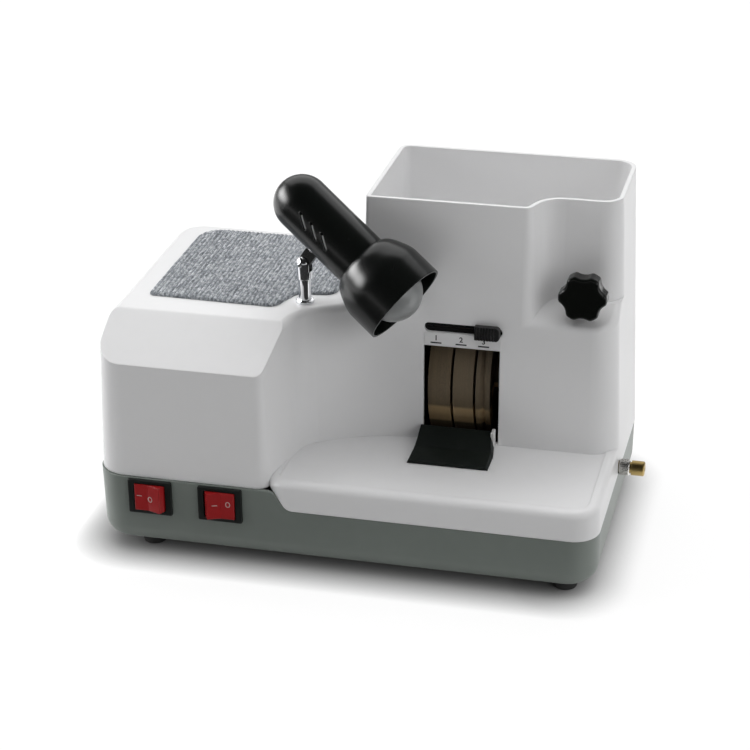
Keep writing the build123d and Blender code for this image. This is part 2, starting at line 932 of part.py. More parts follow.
def spindle_ring(start, across, outer, inner):
    """Plain ring on the spindle axis, from x = start."""
    with BuildPart() as ring:
        with BuildSketch(side_plane(start)):
            with Locations((spindle_y, spindle_height)):
                Circle(outer)
                Circle(inner, mode=Mode.SUBTRACT)
        extrude(amount=across)
    return ring.part


build_wheel("rough_wheel", rough_x, rough_width, False)
build_wheel("fine_wheel", fine_x, fine_width, False)
build_wheel("bevel_wheel", bevel_x, bevel_width, True)

with BuildPart() as wheel_spacers:
    for start in (fine_x - spacer_width, bevel_x - spacer_width):
        add(spindle_ring(start, spacer_width, spacer_diameter / 2, shaft_diameter / 2 + running))
save(wheel_spacers.part, "wheel_spacers")

shaft_start = left + shaft_start_from_left
with BuildPart() as motor_shaft:
    with BuildSketch(side_plane(shaft_start)):
        with Locations((spindle_y, spindle_height)):
            Circle(shaft_diameter / 2)
    extrude(amount=stack_end - shaft_start)
    with BuildSketch(side_plane(stack_end)):
        with Locations((spindle_y, spindle_height)):
            Circle(thread_diameter / 2)
    extrude(amount=flange_width + nut_width + thread_tail)
    with BuildSketch(side_plane(rough_x - collar_width)):
        with Locations((spindle_y, spindle_height)):
            Circle(spacer_diameter / 2)
    extrude(amount=collar_width)
    chamfer(motor_shaft.faces().sort_by(Axis.X)[-1].edges(), shaft_chamfer)
save(motor_shaft.part, "motor_shaft")

with BuildPart() as outer_flange:
    add(spindle_ring(stack_end, flange_width, flange_diameter / 2, thread_diameter / 2 + running))
    chamfer(outer_flange.faces().sort_by(Axis.X)[-1].edges().sort_by(SortBy.LENGTH)[-1], flange_chamfer)
save(outer_flange.part, "outer_flange")

with BuildPart() as spindle_nut:
    with BuildSketch(side_plane(stack_end + flange_width)):
        with Locations((spindle_y, spindle_height)):
            RegularPolygon(nut_across_flats / 2, 6, major_radius=False)
            Circle(thread_diameter / 2 + running, mode=Mode.SUBTRACT)
    extrude(amount=nut_width)
save(spindle_nut.part, "spindle_nut")

# ---------------------------------------------------------------- motor
can_start = left + can_from_left
can_end = can_start + can_length
can_bore = can_diameter / 2 - can_wall
bell_places = ((can_start, -1), (can_end, 1))

with BuildPart() as motor_can:
    add(spindle_ring(can_start, can_length, can_diameter / 2, can_bore))
save(motor_can.part, "motor_can")

with BuildPart() as motor_stator:
    with BuildSketch(side_plane(can_start + (can_length - rotor_length) / 2)):
        with Locations((spindle_y, spindle_height)):
            Circle(can_bore)
            Circle(rotor_diameter / 2 + air_gap, mode=Mode.SUBTRACT)
            with PolarLocations((can_bore + rotor_diameter / 2) / 2, stator_slots):
                SlotOverall(slot_length, slot_across, mode=Mode.SUBTRACT)
    extrude(amount=rotor_length)
save(motor_stator.part, "motor_stator")

with BuildPart() as motor_rotor:
    rotor_start = can_start + (can_length - rotor_length) / 2
    add(spindle_ring(rotor_start, rotor_length, rotor_diameter / 2, shaft_diameter / 2))
save(motor_rotor.part, "motor_rotor")

with BuildPart() as motor_bells:
    for face, side in bell_places:
        seat = min(face, face + side * bell_depth)
        web = min(face + side * (bell_depth - bell_wall), face + side * bell_depth)
        add(spindle_ring(seat, bell_depth, can_diameter / 2, can_bore))
        add(spindle_ring(web, bell_wall, can_diameter / 2, shaft_diameter / 2 + clearance))
        hub = min(face + side * bell_hub_setback, face + side * bell_depth)
        hub_radius = bearing_diameter / 2 + bell_wall
        add(spindle_ring(hub, bell_depth - bell_hub_setback, hub_radius, bearing_diameter / 2))
        with BuildSketch(side_plane(web)):
            with Locations((spindle_y, spindle_height)):
                with PolarLocations((can_bore + hub_radius) / 2, bell_vents, 180 / bell_vents):
                    Circle(bell_vent_radius)
        extrude(amount=bell_wall, mode=Mode.SUBTRACT)
save(motor_bells.part, "motor_bells")

with BuildPart() as motor_bearings:
    for face, side in bell_places:
        outer = face + side * (bell_depth - bell_wall)
        seat = min(outer, outer - side * bearing_width)
        add(spindle_ring(seat, bearing_width, bearing_diameter / 2, shaft_diameter / 2 + running))
save(motor_bearings.part, "motor_bearings")

post_top_height = foot_height + wall / 2 + post_foot
with BuildPart() as motor_cradle:
    with BuildSketch(Plane.XY.offset(post_top_height)):
        with Locations((cradle_x, spindle_y)):
            RectangleRounded(cradle_length, cradle_width, cradle_corner_radius)
        with Locations(*cradle_bolts):
            Circle(bolt_diameter / 2 + slip, mode=Mode.SUBTRACT)
    extrude(amount=cradle_plate)
    for side in (-1, 1):
        with BuildSketch(side_plane(cradle_x + side * cradle_length / 4 - cradle_plate / 2)):
            with Locations((spindle_y, (post_top_height + cradle_plate + spindle_height) / 2)):
                Rectangle(cradle_width, spindle_height - post_top_height - cradle_plate)
            with Locations((spindle_y, spindle_height)):
                Circle(can_diameter / 2, mode=Mode.SUBTRACT)
        extrude(amount=cradle_plate)
save(motor_cradle.part, "motor_cradle")

with BuildPart() as cradle_screws:
    with BuildSketch(Plane.XY.offset(post_top_height + cradle_plate)):
        with Locations(*cradle_bolts):
            Circle(bolt_diameter - slip)
    extrude(amount=head_height)
    with BuildSketch(Plane.XY.offset(post_top_height + cradle_plate)):
        with Locations(*cradle_bolts):
            Circle(bolt_diameter / 2)
    extrude(amount=-bolt_length)
save(cradle_screws.part, "cradle_screws")

capacitor_x = left + capacitor_from_left
capacitor_y = front + capacitor_from_front
capacitor_z = foot_height + wall + capacitor_wall + capacitor_diameter / 2
with BuildPart() as motor_capacitor:
    with BuildSketch(side_plane(capacitor_x)):
        with Locations((capacitor_y, capacitor_z)):
            Circle(capacitor_diameter / 2)
    extrude(amount=capacitor_length)
    fillet(motor_capacitor.edges(), capacitor_edge_radius)
save(motor_capacitor.part, "motor_capacitor")

with BuildPart() as capacitor_clip:
    with BuildSketch(side_plane(capacitor_x + (capacitor_length - capacitor_clip_width) / 2)):
        with Locations((capacitor_y, capacitor_z)):
            Circle(capacitor_diameter / 2 + capacitor_wall)
        with Locations((capacitor_y, foot_height + wall + capacitor_wall / 2)):
            Rectangle(capacitor_diameter + 2 * capacitor_clip_ear, capacitor_wall)
        with Locations((capacitor_y, capacitor_z)):
            Circle(capacitor_diameter / 2, mode=Mode.SUBTRACT)
    extrude(amount=capacitor_clip_width)
save(capacitor_clip.part, "capacitor_clip")

# ---------------------------------------------------------------- splash chamber
chamber_left = rough_x - chamber_before_wheels
chamber_right = right - chamber_from_right
chamber_width = chamber_right - chamber_left
chamber_front = front + chamber_from_front
chamber_bottom = spindle_height - wheel_radius - wheel_floor_gap - chamber_wall
chamber_top = window_top + chamber_rise
chamber_centre = (chamber_left + chamber_width / 2, chamber_front + chamber_depth / 2)
with BuildPart() as splash_chamber:
    with BuildSketch(Plane.XY.offset(chamber_bottom)):
        with Locations(chamber_centre):
            RectangleRounded(chamber_width, chamber_depth, chamber_radius)
    extrude(amount=chamber_top - chamber_bottom)
    with BuildSketch(Plane.XY.offset(chamber_bottom + chamber_wall)):
        with Locations(chamber_centre):
            RectangleRounded(
                chamber_width - 2 * chamber_wall,
                chamber_depth - 2 * chamber_wall,
                chamber_radius - chamber_wall,
            )
    extrude(amount=chamber_top - chamber_bottom, mode=Mode.SUBTRACT)
    # mouth behind the grinding window, open to the chamber's rim
    with BuildSketch(front_plane(chamber_front)):
        with Locations((window_left + window_width / 2, (shelf_top + chamber_top) / 2 + mouth_margin)):
            Rectangle(window_width + 2 * mouth_margin, chamber_top - shelf_top + 2 * mouth_margin)
    extrude(amount=-2 * chamber_wall, both=True, mode=Mode.SUBTRACT)
    with BuildSketch(side_plane(chamber_left)):
        with Locations((spindle_y, spindle_height)):
            Circle(seal_diameter / 2)
    extrude(amount=chamber_wall, mode=Mode.SUBTRACT)
    with BuildSketch(side_plane(chamber_right)):
        with Locations((drain_y, drain_height)):
            Circle(drain_diameter / 2 + slip)
    extrude(amount=-chamber_wall, mode=Mode.SUBTRACT)
save(splash_chamber.part, "splash_chamber")

with BuildPart() as shaft_seal:
    seal_bore = shaft_diameter / 2 + running
    add(spindle_ring(chamber_left - seal_lip, chamber_wall + 2 * seal_lip, seal_diameter / 2, seal_bore))
    flange_radius = seal_diameter / 2 + seal_flange_rim
    add(spindle_ring(chamber_left - seal_flange, seal_flange, flange_radius, seal_bore))
save(shaft_seal.part, "shaft_seal")

# ---------------------------------------------------------------- drain fitting
cover_side = right - lean * (drain_height - low_rim)
with BuildPart() as drain_fitting:
    with BuildSketch(side_plane(chamber_right - drain_tail)):
        with Locations((drain_y, drain_height)):
            Circle(drain_diameter / 2)
    extrude(amount=cover_side + drain_reach - chamber_right + drain_tail)
    with BuildSketch(side_plane(cover_side + drain_ring_width + drain_gap)):
        with Locations((drain_y, drain_height)):
            Circle(barb_diameter / 2)
    extrude(amount=drain_reach - drain_ring_width - drain_gap)
    chamfer(drain_fitting.faces().sort_by(Axis.X)[-1].edges(), drain_chamfer)
    with BuildSketch(side_plane(chamber_right)):
        with Locations((drain_y, drain_height)):
            Circle(drain_ring_diameter / 2)
    extrude(amount=drain_shoulder)
    with BuildSketch(side_plane(chamber_right - drain_tail)):
        with Locations((drain_y, drain_height)):
            Circle(drain_bore / 2)
    extrude(amount=width, mode=Mode.SUBTRACT)
save(drain_fitting.part, "drain_fitting")

with BuildPart() as drain_collar:
    with BuildSketch(side_plane(cover_side + clearance)):
        with Locations((drain_y, drain_height)):
            Circle(drain_ring_diameter / 2)
            Circle(drain_diameter / 2 + running, mode=Mode.SUBTRACT)
    extrude(amount=drain_ring_width - clearance)
    chamfer(drain_collar.edges().filter_by(GeomType.CIRCLE).sort_by(SortBy.LENGTH)[-2:], drain_chamfer)
save(drain_collar.part, "drain_collar")

with BuildPart() as drain_nut:
    with BuildSketch(side_plane(chamber_right - chamber_wall)):
        with Locations((drain_y, drain_height)):
            RegularPolygon(drain_nut_across_flats / 2, 6, major_radius=False)
            Circle(drain_diameter / 2 + running, mode=Mode.SUBTRACT)
    extrude(amount=-drain_nut_width)
save(drain_nut.part, "drain_nut")

# ---------------------------------------------------------------- power inlet
with BuildPart() as power_inlet:
    with BuildSketch(front_plane(inlet_face)):
        with Locations((inlet_x, inlet_height)):
            RectangleRounded(inlet_flange_width, inlet_flange_height, inlet_flange_radius)
            with GridLocations(inlet_screw_pitch, 1, 2, 1):
                Circle(inlet_screw / 2 + slip, mode=Mode.SUBTRACT)
    extrude(amount=-inlet_flange)
    with BuildSketch(front_plane(inlet_face)):
        with Locations((inlet_x, inlet_height)):
            RectangleRounded(inlet_body_width, inlet_body_height, inlet_body_radius)
    extrude(amount=inlet_body_depth)
    with BuildSketch(front_plane(inlet_face + inlet_flange)):
        with Locations((inlet_x, inlet_height)):
            RectangleRounded(inlet_socket_width, inlet_socket_height, inlet_socket_radius)
    extrude(amount=inlet_socket_depth, mode=Mode.SUBTRACT)
save(power_inlet.part, "power_inlet")

with BuildPart() as inlet_pins:
    with BuildSketch(front_plane(inlet_face + inlet_flange - inlet_socket_depth)):
        for place in (-1, 0, 1):
            shift = inlet_pin_shift if place == 0 else -inlet_pin_shift
            with Locations((inlet_x + place * inlet_pin_pitch, inlet_height + shift)):
                Rectangle(inlet_pin_width, inlet_pin_height)
    extrude(amount=-(inlet_socket_depth - inlet_pin_setback))
save(inlet_pins.part, "inlet_pins")

with BuildPart() as inlet_screws:
    with BuildSketch(front_plane(inlet_face + inlet_flange)):
        with Locations((inlet_x, inlet_height)):
            with GridLocations(inlet_screw_pitch, 1, 2, 1):
                Circle(inlet_screw_head / 2)
    extrude(amount=-inlet_head_height)
    with BuildSketch(front_plane(inlet_face + inlet_flange)):
        with Locations((inlet_x, inlet_height)):
            with GridLocations(inlet_screw_pitch, 1, 2, 1):
                Circle(inlet_screw / 2)
    extrude(amount=inlet_screw_length)
save(inlet_screws.part, "inlet_screws")

# ---------------------------------------------------------------- water selector
thumb_centre = slot_left + slot_width - thumb_inset - thumb_width / 2
thumb_plane = leaning_plane(thumb_centre, tower_face(slot_centre_height), slot_centre_height)
with BuildPart() as water_slider:
    # thumb piece outside the wall, its right end rounded
    with BuildSketch(thumb_plane.offset(clearance)) as thumb:
        Rectangle(thumb_width, thumb_height)
        fillet(thumb.vertices().group_by(Axis.X)[-1], thumb_corner_radius)
    extrude(amount=thumb_depth - clearance)
    fillet(water_slider.faces().sort_by(Axis.Y)[0].edges(), thumb_edge_radius)
    with BuildSketch(thumb_plane.offset(thumb_depth)):
        with Locations((-thumb_groove_shift, 0)):
            with GridLocations(thumb_width / (thumb_ribs + 1), 1, thumb_ribs, 1):
                Rectangle(thumb_groove, thumb_height)
    extrude(amount=-thumb_groove_depth, mode=Mode.SUBTRACT)
    # neck through the slot and plate behind the wall
    with BuildSketch(thumb_plane.offset(clearance)):
        Rectangle(slider_neck_width, slot_height - 2 * clearance)
    extrude(amount=-(wall + 2 * clearance))
    with BuildSketch(thumb_plane.offset(-wall - clearance)):
        Rectangle(carriage_width, carriage_height)
    extrude(amount=-carriage_plate)
save(water_slider.part, "water_slider")

chute_plane = thumb_plane.offset(-wall - clearance - carriage_plate)
with BuildPart() as drip_chute:
    with BuildSketch(chute_plane):
        with Locations((0, chute_drop)):
            Rectangle(chute_width, chute_height)
        with Locations((0, chute_drop + chute_wall)):
            Rectangle(chute_width - 2 * chute_wall, chute_height, mode=Mode.SUBTRACT)
    extrude(amount=-chute_length)
    with BuildSketch(chute_plane):
        with Locations((0, chute_drop)):
            Rectangle(chute_width, chute_height)
    extrude(amount=-chute_wall)
    with BuildSketch(chute_plane.offset(chute_wall - chute_length)):
        with Locations((0, chute_drop)):
            Rectangle(chute_width, chute_height)
    extrude(amount=-chute_wall)
    with BuildSketch(Plane.XY.offset(slot_centre_height)):
        with Locations((thumb_centre, chute_plane.origin.Y + chute_length / 2)):
            Circle(chute_hole / 2)
    extrude(amount=-chute_height - wall, mode=Mode.SUBTRACT)
save(drip_chute.part, "drip_chute")

# ---------------------------------------------------------------- splash apron
apron_left = left + apron_from_left
clip_place = (left + clip_from_left + clip_width / 2, tower_front - clip_setback)


def apron_section(from_front, foot, top, height):
    """Trapezium across the apron at a depth, standing on the shelf's dish."""
    in_dish = from_front < shelf_depth - dish_border
    floor = shelf_top + clearance - (dish_depth if in_dish else 0)
    with BuildSketch(front_plane(front + from_front)) as section:
        with BuildLine():
            Polyline(
                (apron_left, floor),
                (apron_left + foot, floor),
                (apron_left + top + apron_side_slope, floor + height),
                (apron_left + apron_side_slope, floor + height),
                close=True,
            )
        make_face()
    return section.sketch


with BuildPart() as splash_apron:
    add(apron_section(apron_front, apron_width, apron_width - 2 * apron_side_slope, apron_lip))
    fold_width = apron_width - 2 * apron_side_slope
    add(apron_section(apron_front + apron_fold, apron_width, fold_width, apron_fold_height))
    add(apron_section(apron_front + apron_run, apron_width - apron_back_inset, apron_top_width, apron_rise))
    loft(ruled=True)
    with BuildSketch(Plane.XY.offset(shelf_top)):
        with Locations(clip_place):
            Rectangle(clip_width + 2 * clearance, clip_depth + 2 * clearance)
    extrude(amount=clip_height, mode=Mode.SUBTRACT)
save(splash_apron.part, "splash_apron")

with BuildPart() as apron_clip:
    with BuildSketch(Plane.XY.offset(shelf_top)):
        with Locations(clip_place):
            Rectangle(clip_width, clip_depth)
    extrude(amount=clip_height)
    fillet(apron_clip.faces().sort_by(Axis.Z)[-1].edges(), clip_edge_radius)
save(apron_clip.part, "apron_clip")

# ---------------------------------------------------------------- water valve
valve_seat = knob_plane.offset(-wall)
neck_length = wall + valve_nut_height + valve_neck_end
spout_length = knob_above_floor + tank_floor + spout_tail
with BuildPart() as valve_body:
    with BuildSketch(valve_seat):
        Circle(valve_flange_diameter / 2)
    extrude(amount=-valve_flange)
    with BuildSketch(valve_seat):
        Circle(valve_body_diameter / 2)
    extrude(amount=-valve_body_length)
    with BuildSketch(valve_seat):
        Circle(valve_neck_diameter / 2)
    extrude(amount=neck_length)
    with BuildSketch(Plane.XY.offset(knob_height)):
        with Locations((spout_x, spout_y)):
            Circle(spout_diameter / 2)
    extrude(amount=-spout_length)
    with BuildSketch(Plane.XY.offset(tank_floor_top)):
        with Locations((spout_x, spout_y)):
            Circle(spout_diameter / 2 + spout_collar)
    extrude(amount=spout_collar_height)
    with BuildSketch(valve_seat.offset(neck_length)):
        Circle(stem_diameter / 2 + running)
    extrude(amount=-(neck_length + valve_bore_length), mode=Mode.SUBTRACT)
    with BuildSketch(Plane.XY.offset(knob_height)):
        with Locations((spout_x, spout_y)):
            Circle(tube_diameter / 2 + running)
    extrude(amount=-spout_length, mode=Mode.SUBTRACT)
save(valve_body.part, "valve_body")

with BuildPart() as valve_nut:
    with BuildSketch(knob_plane):
        RegularPolygon(valve_nut_across_flats / 2, 6, major_radius=False)
        Circle(valve_neck_diameter / 2 + running, mode=Mode.SUBTRACT)
    extrude(amount=valve_nut_height)
save(valve_nut.part, "valve_nut")

with BuildPart() as valve_stem:
    with BuildSketch(knob_plane.offset(knob_standoff + stem_grip)):
        Circle(stem_diameter / 2)
    extrude(amount=-(knob_standoff + stem_grip + wall + stem_tail))
save(valve_stem.part, "valve_stem")

with BuildPart() as valve_knob:
    with BuildSketch(knob_plane.offset(knob_standoff)) as star:
        Circle(knob_diameter / 2)
        scallops_out = knob_diameter / 2 + knob_scallop_radius - knob_scallop_depth
        with PolarLocations(scallops_out, knob_lobes, 180 / knob_lobes):
            Circle(knob_scallop_radius, mode=Mode.SUBTRACT)
        fillet(star.vertices(), knob_lobe_radius)
    extrude(amount=knob_thickness)
    fillet(valve_knob.faces().sort_by(Axis.Y)[0].edges(), knob_edge_radius)
    with BuildSketch(knob_plane.offset(knob_standoff)):
        Circle(stem_diameter / 2)
    extrude(amount=stem_grip, mode=Mode.SUBTRACT)
save(valve_knob.part, "valve_knob")

rail_top = tank_floor_top - tank_floor - spout_tail
rail_height = slot_centre_height + rail_above_slot
rail_y = chute_plane.origin.Y + chute_length / 2
with BuildPart() as drip_rail:
    with BuildLine() as rail_path:
        FilletPolyline(
            (spout_x, spout_y, rail_top + spout_tail + tank_floor),
            (spout_x, spout_y, rail_height),
            (spout_x - rail_run, rail_y, rail_height),
            (window_left + rail_end, rail_y, rail_height),
            radius=rail_bend,
        )
    with BuildSketch(Plane(origin=rail_path.line @ 0, z_dir=rail_path.line % 0)):
        Circle(tube_diameter / 2)
    sweep()
save(drip_rail.part, "drip_rail")

# ---------------------------------------------------------------- lamp
with BuildPart() as lamp_post:
    with BuildSketch(Plane.XY.offset(block_top)):
        with Locations((post_x, post_y)):
            Circle(post_flange_diameter / 2)
    extrude(amount=post_flange_height)
    fillet(lamp_post.faces().sort_by(Axis.Z)[-1].edges(), post_flange_edge)
    with BuildSketch(Plane.XY.offset(block_top)):
        with Locations((post_x, post_y)):
            Circle(post_diameter / 2)
    extrude(amount=post_top - block_top)
    with BuildSketch(Plane.XY.offset(block_top)):
        with Locations((post_x, post_y)):
            Circle(post_thread / 2)
    extrude(amount=-(wall + post_nut_height + post_thread_tail))
    with BuildSketch(Plane.XY.offset(post_top)):
        with Locations((post_x, post_y)):
            Circle(post_bore / 2)
    extrude(amount=-(post_top - block_top), mode=Mode.SUBTRACT)
save(lamp_post.part, "lamp_post")

with BuildPart() as post_nut:
    with BuildSketch(Plane.XY.offset(block_top - wall)):
        with Locations((post_x, post_y)):
            RegularPolygon(post_nut_across_flats / 2, 6, major_radius=False)
            Circle(post_thread / 2 + running, mode=Mode.SUBTRACT)
    extrude(amount=-post_nut_height)
save(post_nut.part, "post_nut")

heading, pitch = radians(lamp_heading), radians(lamp_pitch)
aim = Vector(cos(heading) * cos(pitch), sin(heading) * cos(pitch), -sin(pitch))
across = Vector(-sin(heading), cos(heading), 0)
pin_point = Vector(post_x, post_y, knuckle_height)
# the lamp's own plane: local x runs back from the rim along the lamp, local y leans up
lamp_up = aim.cross(across)
rim_point = pin_point + lamp_up * lamp_offset + aim * lamp_reach
lamp_plane = Plane(origin=rim_point, x_dir=aim * -1, z_dir=(aim * -1).cross(lamp_up))
lamp_axis = Axis(rim_point, aim * -1)
pin_plane = Plane(origin=pin_point, x_dir=(cos(heading), sin(heading), 0), z_dir=across * -1)

with BuildPart() as lamp_knuckle:
    with BuildSketch(Plane.XY.offset(post_top)):
        with Locations((post_x, post_y)):
            Circle(knuckle_diameter / 2)
    extrude(amount=knuckle_height - post_top)
    with Locations(pin_point):
        Sphere(knuckle_diameter / 2)
    with BuildSketch(Plane.XY.offset(post_top)):
        with Locations((post_x, post_y)):
            Circle(post_bore / 2 - running)
    extrude(amount=-swivel_peg_length)
    with BuildSketch(pin_plane):
        with Locations((0, knuckle_diameter / 2)):
            Rectangle(3 * knuckle_diameter, 2 * (knuckle_diameter - slot_floor))
    extrude(amount=knuckle_slot / 2, both=True, mode=Mode.SUBTRACT)
    with BuildSketch(pin_plane):
        Circle(pin_diameter / 2 + running)
    extrude(amount=knuckle_diameter, both=True, mode=Mode.SUBTRACT)
save(lamp_knuckle.part, "lamp_knuckle")

with BuildPart() as knuckle_pin:
    with BuildSketch(pin_plane):
        Circle(pin_diameter / 2)
    extrude(amount=knuckle_diameter / 2 + pin_stand_out, both=True)
    chamfer(knuckle_pin.faces().filter_by(GeomType.PLANE).edges(), pin_chamfer)
save(knuckle_pin.part, "knuckle_pin")

body_radius = lamp_body_diameter / 2
bore_of_body = body_radius - lamp_wall
with BuildPart() as lamp_body:
    with BuildSketch(lamp_plane):
        with BuildLine():
            Polyline(
                (lamp_length, bore_of_body),
                (shade_depth - lamp_joint_length, bore_of_body),
                (shade_depth - lamp_joint_length, bore_of_body + lamp_joint_step),
                (shade_depth, bore_of_body + lamp_joint_step),
                (shade_depth, body_radius),
                (lamp_length, body_radius),
            )
            outer = CenterArc((lamp_length, 0), body_radius, 0, 90)
            Line(outer @ 0, (lamp_length + bore_of_body, 0))
            CenterArc((lamp_length, 0), bore_of_body, 0, 90)
        make_face()
    revolve(axis=lamp_axis)
    # lug that stands in the knuckle's slot
    with BuildSketch(lamp_plane):
        with Locations((lamp_reach, -(lamp_offset + body_radius) / 2)):
            Rectangle(lug_width, lamp_offset - body_radius + lamp_wall)
        with Locations((lamp_reach, -lamp_offset)):
            Circle(lug_width / 2)
            Circle(pin_diameter / 2 + running, mode=Mode.SUBTRACT)
    extrude(amount=lug_thickness / 2, both=True)
    # slanting vents on both sides
    for side in (1, -1):
        rise = radians(vent_rise)
        outward = across * (-side * cos(rise)) + lamp_up * sin(rise)
        for index in range(vent_count):
            from_rim = lamp_length - vent_setback - index * vent_pitch
            place = rim_point - aim * from_rim + outward * body_radius
            with BuildSketch(Plane(origin=place, x_dir=aim * -1, z_dir=outward)):
                SlotOverall(vent_length, vent_width, rotation=-side * vent_slant)
            extrude(amount=lamp_wall, both=True, mode=Mode.SUBTRACT)
save(lamp_body.part, "lamp_body")

shade_radius = shade_diameter / 2
shade_bore = bore_of_body + lamp_joint_step + shade_gap
shade_end = shade_depth - slip
with BuildPart() as lamp_shade:
    with BuildSketch(lamp_plane):
        with BuildLine():
            rim = Line((0, shade_radius), (shade_straight, shade_radius))
            Spline(
                (shade_straight, shade_radius),
                (shade_shoulder, shade_shoulder_diameter / 2),
                (shade_end, shade_neck_diameter / 2),
                tangents=((1, 0), (0.55, -1)),
            )
            Polyline(
                (shade_end, shade_neck_diameter / 2),
                (shade_end, shade_bore),
                (shade_depth - shade_lap, shade_bore),
            )
            Spline(
                (shade_depth - shade_lap, shade_bore),
                (shade_shoulder - shade_wall / 2, shade_shoulder_diameter / 2 - shade_wall),
                (shade_straight, shade_radius - shade_wall),
                tangents=((-0.55, 1), (-1, 0)),
            )
            Polyline(
                (shade_straight, shade_radius - shade_wall),
                (0, shade_radius - shade_wall),
                (0, shade_radius),
            )
        make_face()
    revolve(axis=lamp_axis)
save(lamp_shade.part, "lamp_shade")

bulb_radius = bulb_diameter / 2
with BuildPart() as lamp_bulb:
    with BuildSketch(lamp_plane):
        with BuildLine():
            front_arc = CenterArc((bulb_setback, 0), bulb_radius, bulb_arc, 180 - bulb_arc)
            neck = Spline(
                front_arc @ 0,
                (bulb_neck_end, bulb_cap_diameter / 2),
                tangents=((sin(radians(bulb_arc)), -cos(radians(bulb_arc))), (1, 0)),
            )
            Polyline(neck @ 1, (bulb_neck_end, 0), front_arc @ 1)
        make_face()
    revolve(axis=lamp_axis)
    with Locations(rim_point - aim * bulb_setback):
        Sphere(bulb_radius - bulb_wall, mode=Mode.SUBTRACT)
save(lamp_bulb.part, "lamp_bulb")

with BuildPart() as bulb_cap:
    with BuildSketch(lamp_plane):
        with Locations((bulb_neck_end, 0)):
            Rectangle(bulb_cap_length, bulb_cap_diameter / 2, align=(Align.MIN, Align.MIN))
    revolve(axis=lamp_axis)
    chamfer(bulb_cap.faces().filter_by(GeomType.PLANE).edges(), bulb_cap_chamfer)
save(bulb_cap.part, "bulb_cap")

with BuildPart() as bulb_holder:
    with BuildSketch(lamp_plane):
        with Locations((bulb_neck_end + holder_setback, 0)):
            Rectangle(holder_length, holder_diameter / 2, align=(Align.MIN, Align.MIN))
        with Locations((bulb_neck_end + holder_flange_setback, 0)):
            Rectangle(holder_flange, bore_of_body - running, align=(Align.MIN, Align.MIN))
        with Locations((bulb_neck_end + holder_setback, 0)):
            Rectangle(
                bulb_cap_length - holder_setback + clearance,
                bulb_cap_diameter / 2 + slip,
                align=(Align.MIN, Align.MIN),
                mode=Mode.SUBTRACT,
            )
    revolve(axis=lamp_axis)
save(bulb_holder.part, "bulb_holder")
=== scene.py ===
"""Looks of the optical lens edger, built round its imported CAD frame.

Lengths are given in millimetres and turned to metres by mm().
"""
import json
import math

import bmesh
import bpy
import numpy as np
from mathutils import Matrix, Vector
from mathutils.bvhtree import BVHTree

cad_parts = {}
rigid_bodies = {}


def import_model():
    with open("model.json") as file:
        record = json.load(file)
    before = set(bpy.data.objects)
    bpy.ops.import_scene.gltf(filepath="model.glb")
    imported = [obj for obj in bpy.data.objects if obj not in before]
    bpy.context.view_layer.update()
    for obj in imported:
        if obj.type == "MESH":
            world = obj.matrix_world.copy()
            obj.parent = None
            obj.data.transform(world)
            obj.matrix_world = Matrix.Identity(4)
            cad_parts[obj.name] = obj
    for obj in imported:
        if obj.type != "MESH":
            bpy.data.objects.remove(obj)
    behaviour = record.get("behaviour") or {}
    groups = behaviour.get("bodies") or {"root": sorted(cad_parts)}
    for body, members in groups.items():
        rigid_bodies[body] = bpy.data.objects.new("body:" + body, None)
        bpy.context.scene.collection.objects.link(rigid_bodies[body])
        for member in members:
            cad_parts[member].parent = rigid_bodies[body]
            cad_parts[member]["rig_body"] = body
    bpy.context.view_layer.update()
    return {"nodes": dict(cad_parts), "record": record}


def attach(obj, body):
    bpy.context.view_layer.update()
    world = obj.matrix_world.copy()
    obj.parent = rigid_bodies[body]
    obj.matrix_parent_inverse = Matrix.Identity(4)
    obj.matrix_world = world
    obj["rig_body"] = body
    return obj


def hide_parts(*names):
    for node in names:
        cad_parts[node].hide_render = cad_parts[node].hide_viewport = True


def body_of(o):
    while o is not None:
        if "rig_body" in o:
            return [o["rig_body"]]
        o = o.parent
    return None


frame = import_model()
nodes = frame["nodes"]

# ---------------------------------------------------------------- places shared with the solids
LEFT, FRONT = -182.0, -105.0
LOW_RIM = 46.0
TOWER_FOOT = 88.3
LEAN = math.tan(math.radians(2.0))


def mm(*values):
    """Millimetres to metres, as a number or a vector."""
    if len(values) == 1:
        return values[0] / 1000.0
    return Vector(v / 1000.0 for v in values)


def spot(from_left, from_front, height):
    """A point measured from the housing's front left corner, in metres."""
    return mm(LEFT + from_left, FRONT + from_front, height)


def tower_face(height):
    """How far the tower's leaning front stands from the housing's front."""
    return TOWER_FOOT + LEAN * (height - LOW_RIM)


WHEEL_AXIS = spot(0, 149, 96)

# ---------------------------------------------------------------- shader groups
def new_group(name, inputs, outputs):
    """An empty shader group with named sockets: (name, kind, default)."""
    tree = bpy.data.node_groups.new(name, "ShaderNodeTree")
    for label, kind, value in inputs:
        made = tree.interface.new_socket(label, in_out="INPUT", socket_type=kind)
        made.default_value = value
    for label, kind in outputs:
        tree.interface.new_socket(label, in_out="OUTPUT", socket_type=kind)
    return tree, tree.nodes.new("NodeGroupInput"), tree.nodes.new("NodeGroupOutput")


